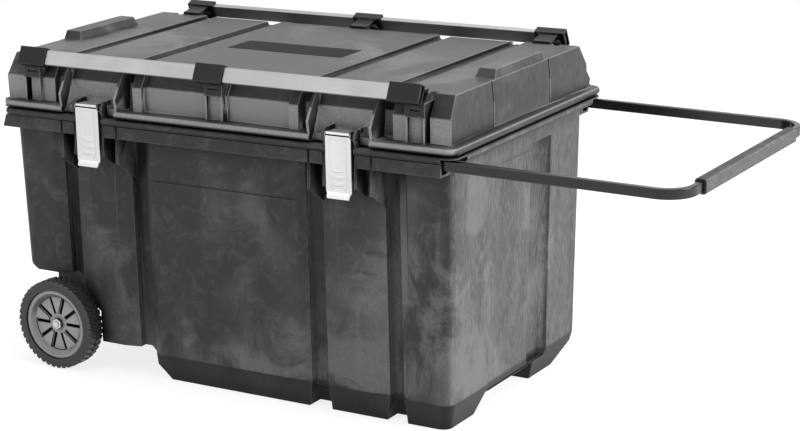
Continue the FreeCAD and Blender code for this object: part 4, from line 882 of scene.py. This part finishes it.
def lever_sheet(middle):
    """The lever's outer sheet, folded at its sides, before it gets its thickness."""
    flat = LEVER_HALF - LEVER_FOLD
    fold = [(LEVER_HALF, None), (LEVER_HALF, LEVER_FOLD)]
    for turn in FOLD_TURNS:
        angle = math.radians(turn)
        fold.append((flat + LEVER_FOLD * math.cos(angle), LEVER_FOLD * (1 - math.sin(angle))))
    count = round(2 * flat / SHEET_STEP)
    face = [(-flat + 2 * flat * step / count, 0.0) for step in range(count + 1)]
    line = [(-across, depth) for across, depth in fold] + face + fold[::-1]
    rows = round((LEVER_TOP - LIP_LINE[0][0]) / SHEET_STEP)
    heights = [(LEVER_TOP - (LEVER_TOP - LIP_LINE[0][0]) * row / rows, 0.0)
               for row in range(rows)] + LIP_LINE
    insets = [0.0] * rows + [corner * eased(LIP_LINE[0][0] - level, 0.0, LIP_RISE)
                             for (level, _), corner in zip(LIP_LINE, LIP_CORNERS)]
    work = bmesh.new()
    grid = []
    for (level, flare), inset in zip(heights, insets):
        folded = eased(level, FLANGE_FROM, FLANGE_FROM + FLANGE_RISE)
        flange = LEVER_FOLD + (FLANGE_DEPTH - LEVER_FOLD) * folded
        row = []
        for across, depth in line:
            back = flange if depth is None else depth
            if back == 0.0:
                back = pressing(across, level)
            place = across * (1 - inset / LEVER_HALF)
            row.append(work.verts.new((middle + place, LATCH_FACE + back - flare, level)))
        grid.append(row)
    for upper, lower in zip(grid, grid[1:]):
        for place in range(len(line) - 1):
            work.faces.new((upper[place], lower[place], lower[place + 1], upper[place + 1]))
    return mesh_from(work, "sheet")


def ear_plate(centre):
    """Plate that carries one end of the claw's pin."""
    work = bmesh.new()
    sides = []
    for across in (-LEVER_SHEET / 2, LEVER_SHEET / 2):
        sides.append([work.verts.new((centre + across, depth, level)) for depth, level in EAR])
    work.faces.new(sides[0])
    work.faces.new(sides[1][::-1])
    for place in range(len(EAR)):
        after = (place + 1) % len(EAR)
        work.faces.new((sides[0][after], sides[0][place], sides[1][place], sides[1][after]))
    bmesh.ops.recalc_face_normals(work, faces=work.faces)
    return mesh_from(work, "ear")


CLAW_EASE = 0.0005
LATCH_PIN_EASE = 0.0003
IN_PLACE = Matrix()
zinc_material = drawn_metal("latch_zinc", dark=grey(0.6, warmth=-0.01), light=grey(0.74),
                            rough=0.24, stretch=(1, 1, 0.2), scale=90.0, bumpiness=0.05)
# The latch pins are coloured near-black.
dark_pin_material = drawn_metal("blackened_pin", dark=grey(0.04), light=grey(0.09), rough=0.35,
                                 stretch=(1, 1, 1), scale=160.0)
for name, side in (("left", -1), ("right", 1)):
    middle = side * LATCH_X
    lever = piece_of(f"latch_lever_{name}_skin", [(lever_sheet(middle), IN_PLACE)],
                     zinc_material, f"lever_{name}")
    thick = lever.modifiers.new("sheet", "SOLIDIFY")
    thick.thickness = LEVER_SHEET
    thick.offset = -1.0
    lever.modifiers.move(1, 0)
    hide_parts(f"latch_lever_{name}")
    ears = [(ear_plate(middle + edge * (LEVER_HALF - LEVER_SHEET / 2)), IN_PLACE)
            for edge in (-1, 1)]
    piece_of(f"latch_ears_{name}", ears, zinc_material, f"lever_{name}")
    dressed(f"claw_pin_{name}", f"lever_{name}", pin_material, LATCH_PIN_EASE)
    dressed(f"latch_claw_{name}", f"claw_{name}", zinc_material, CLAW_EASE)
    dressed(f"latch_pin_{name}", "box", dark_pin_material, LATCH_PIN_EASE)


# Hinge pins: two steel pins at the back, pressed into the tub's knuckles. The lid's ears turn
# on them.
HINGE_PIN_EASE = 0.0004
for name in ("left", "right"):
    dressed(f"hinge_pin_{name}", "box", pin_material, HINGE_PIN_EASE)
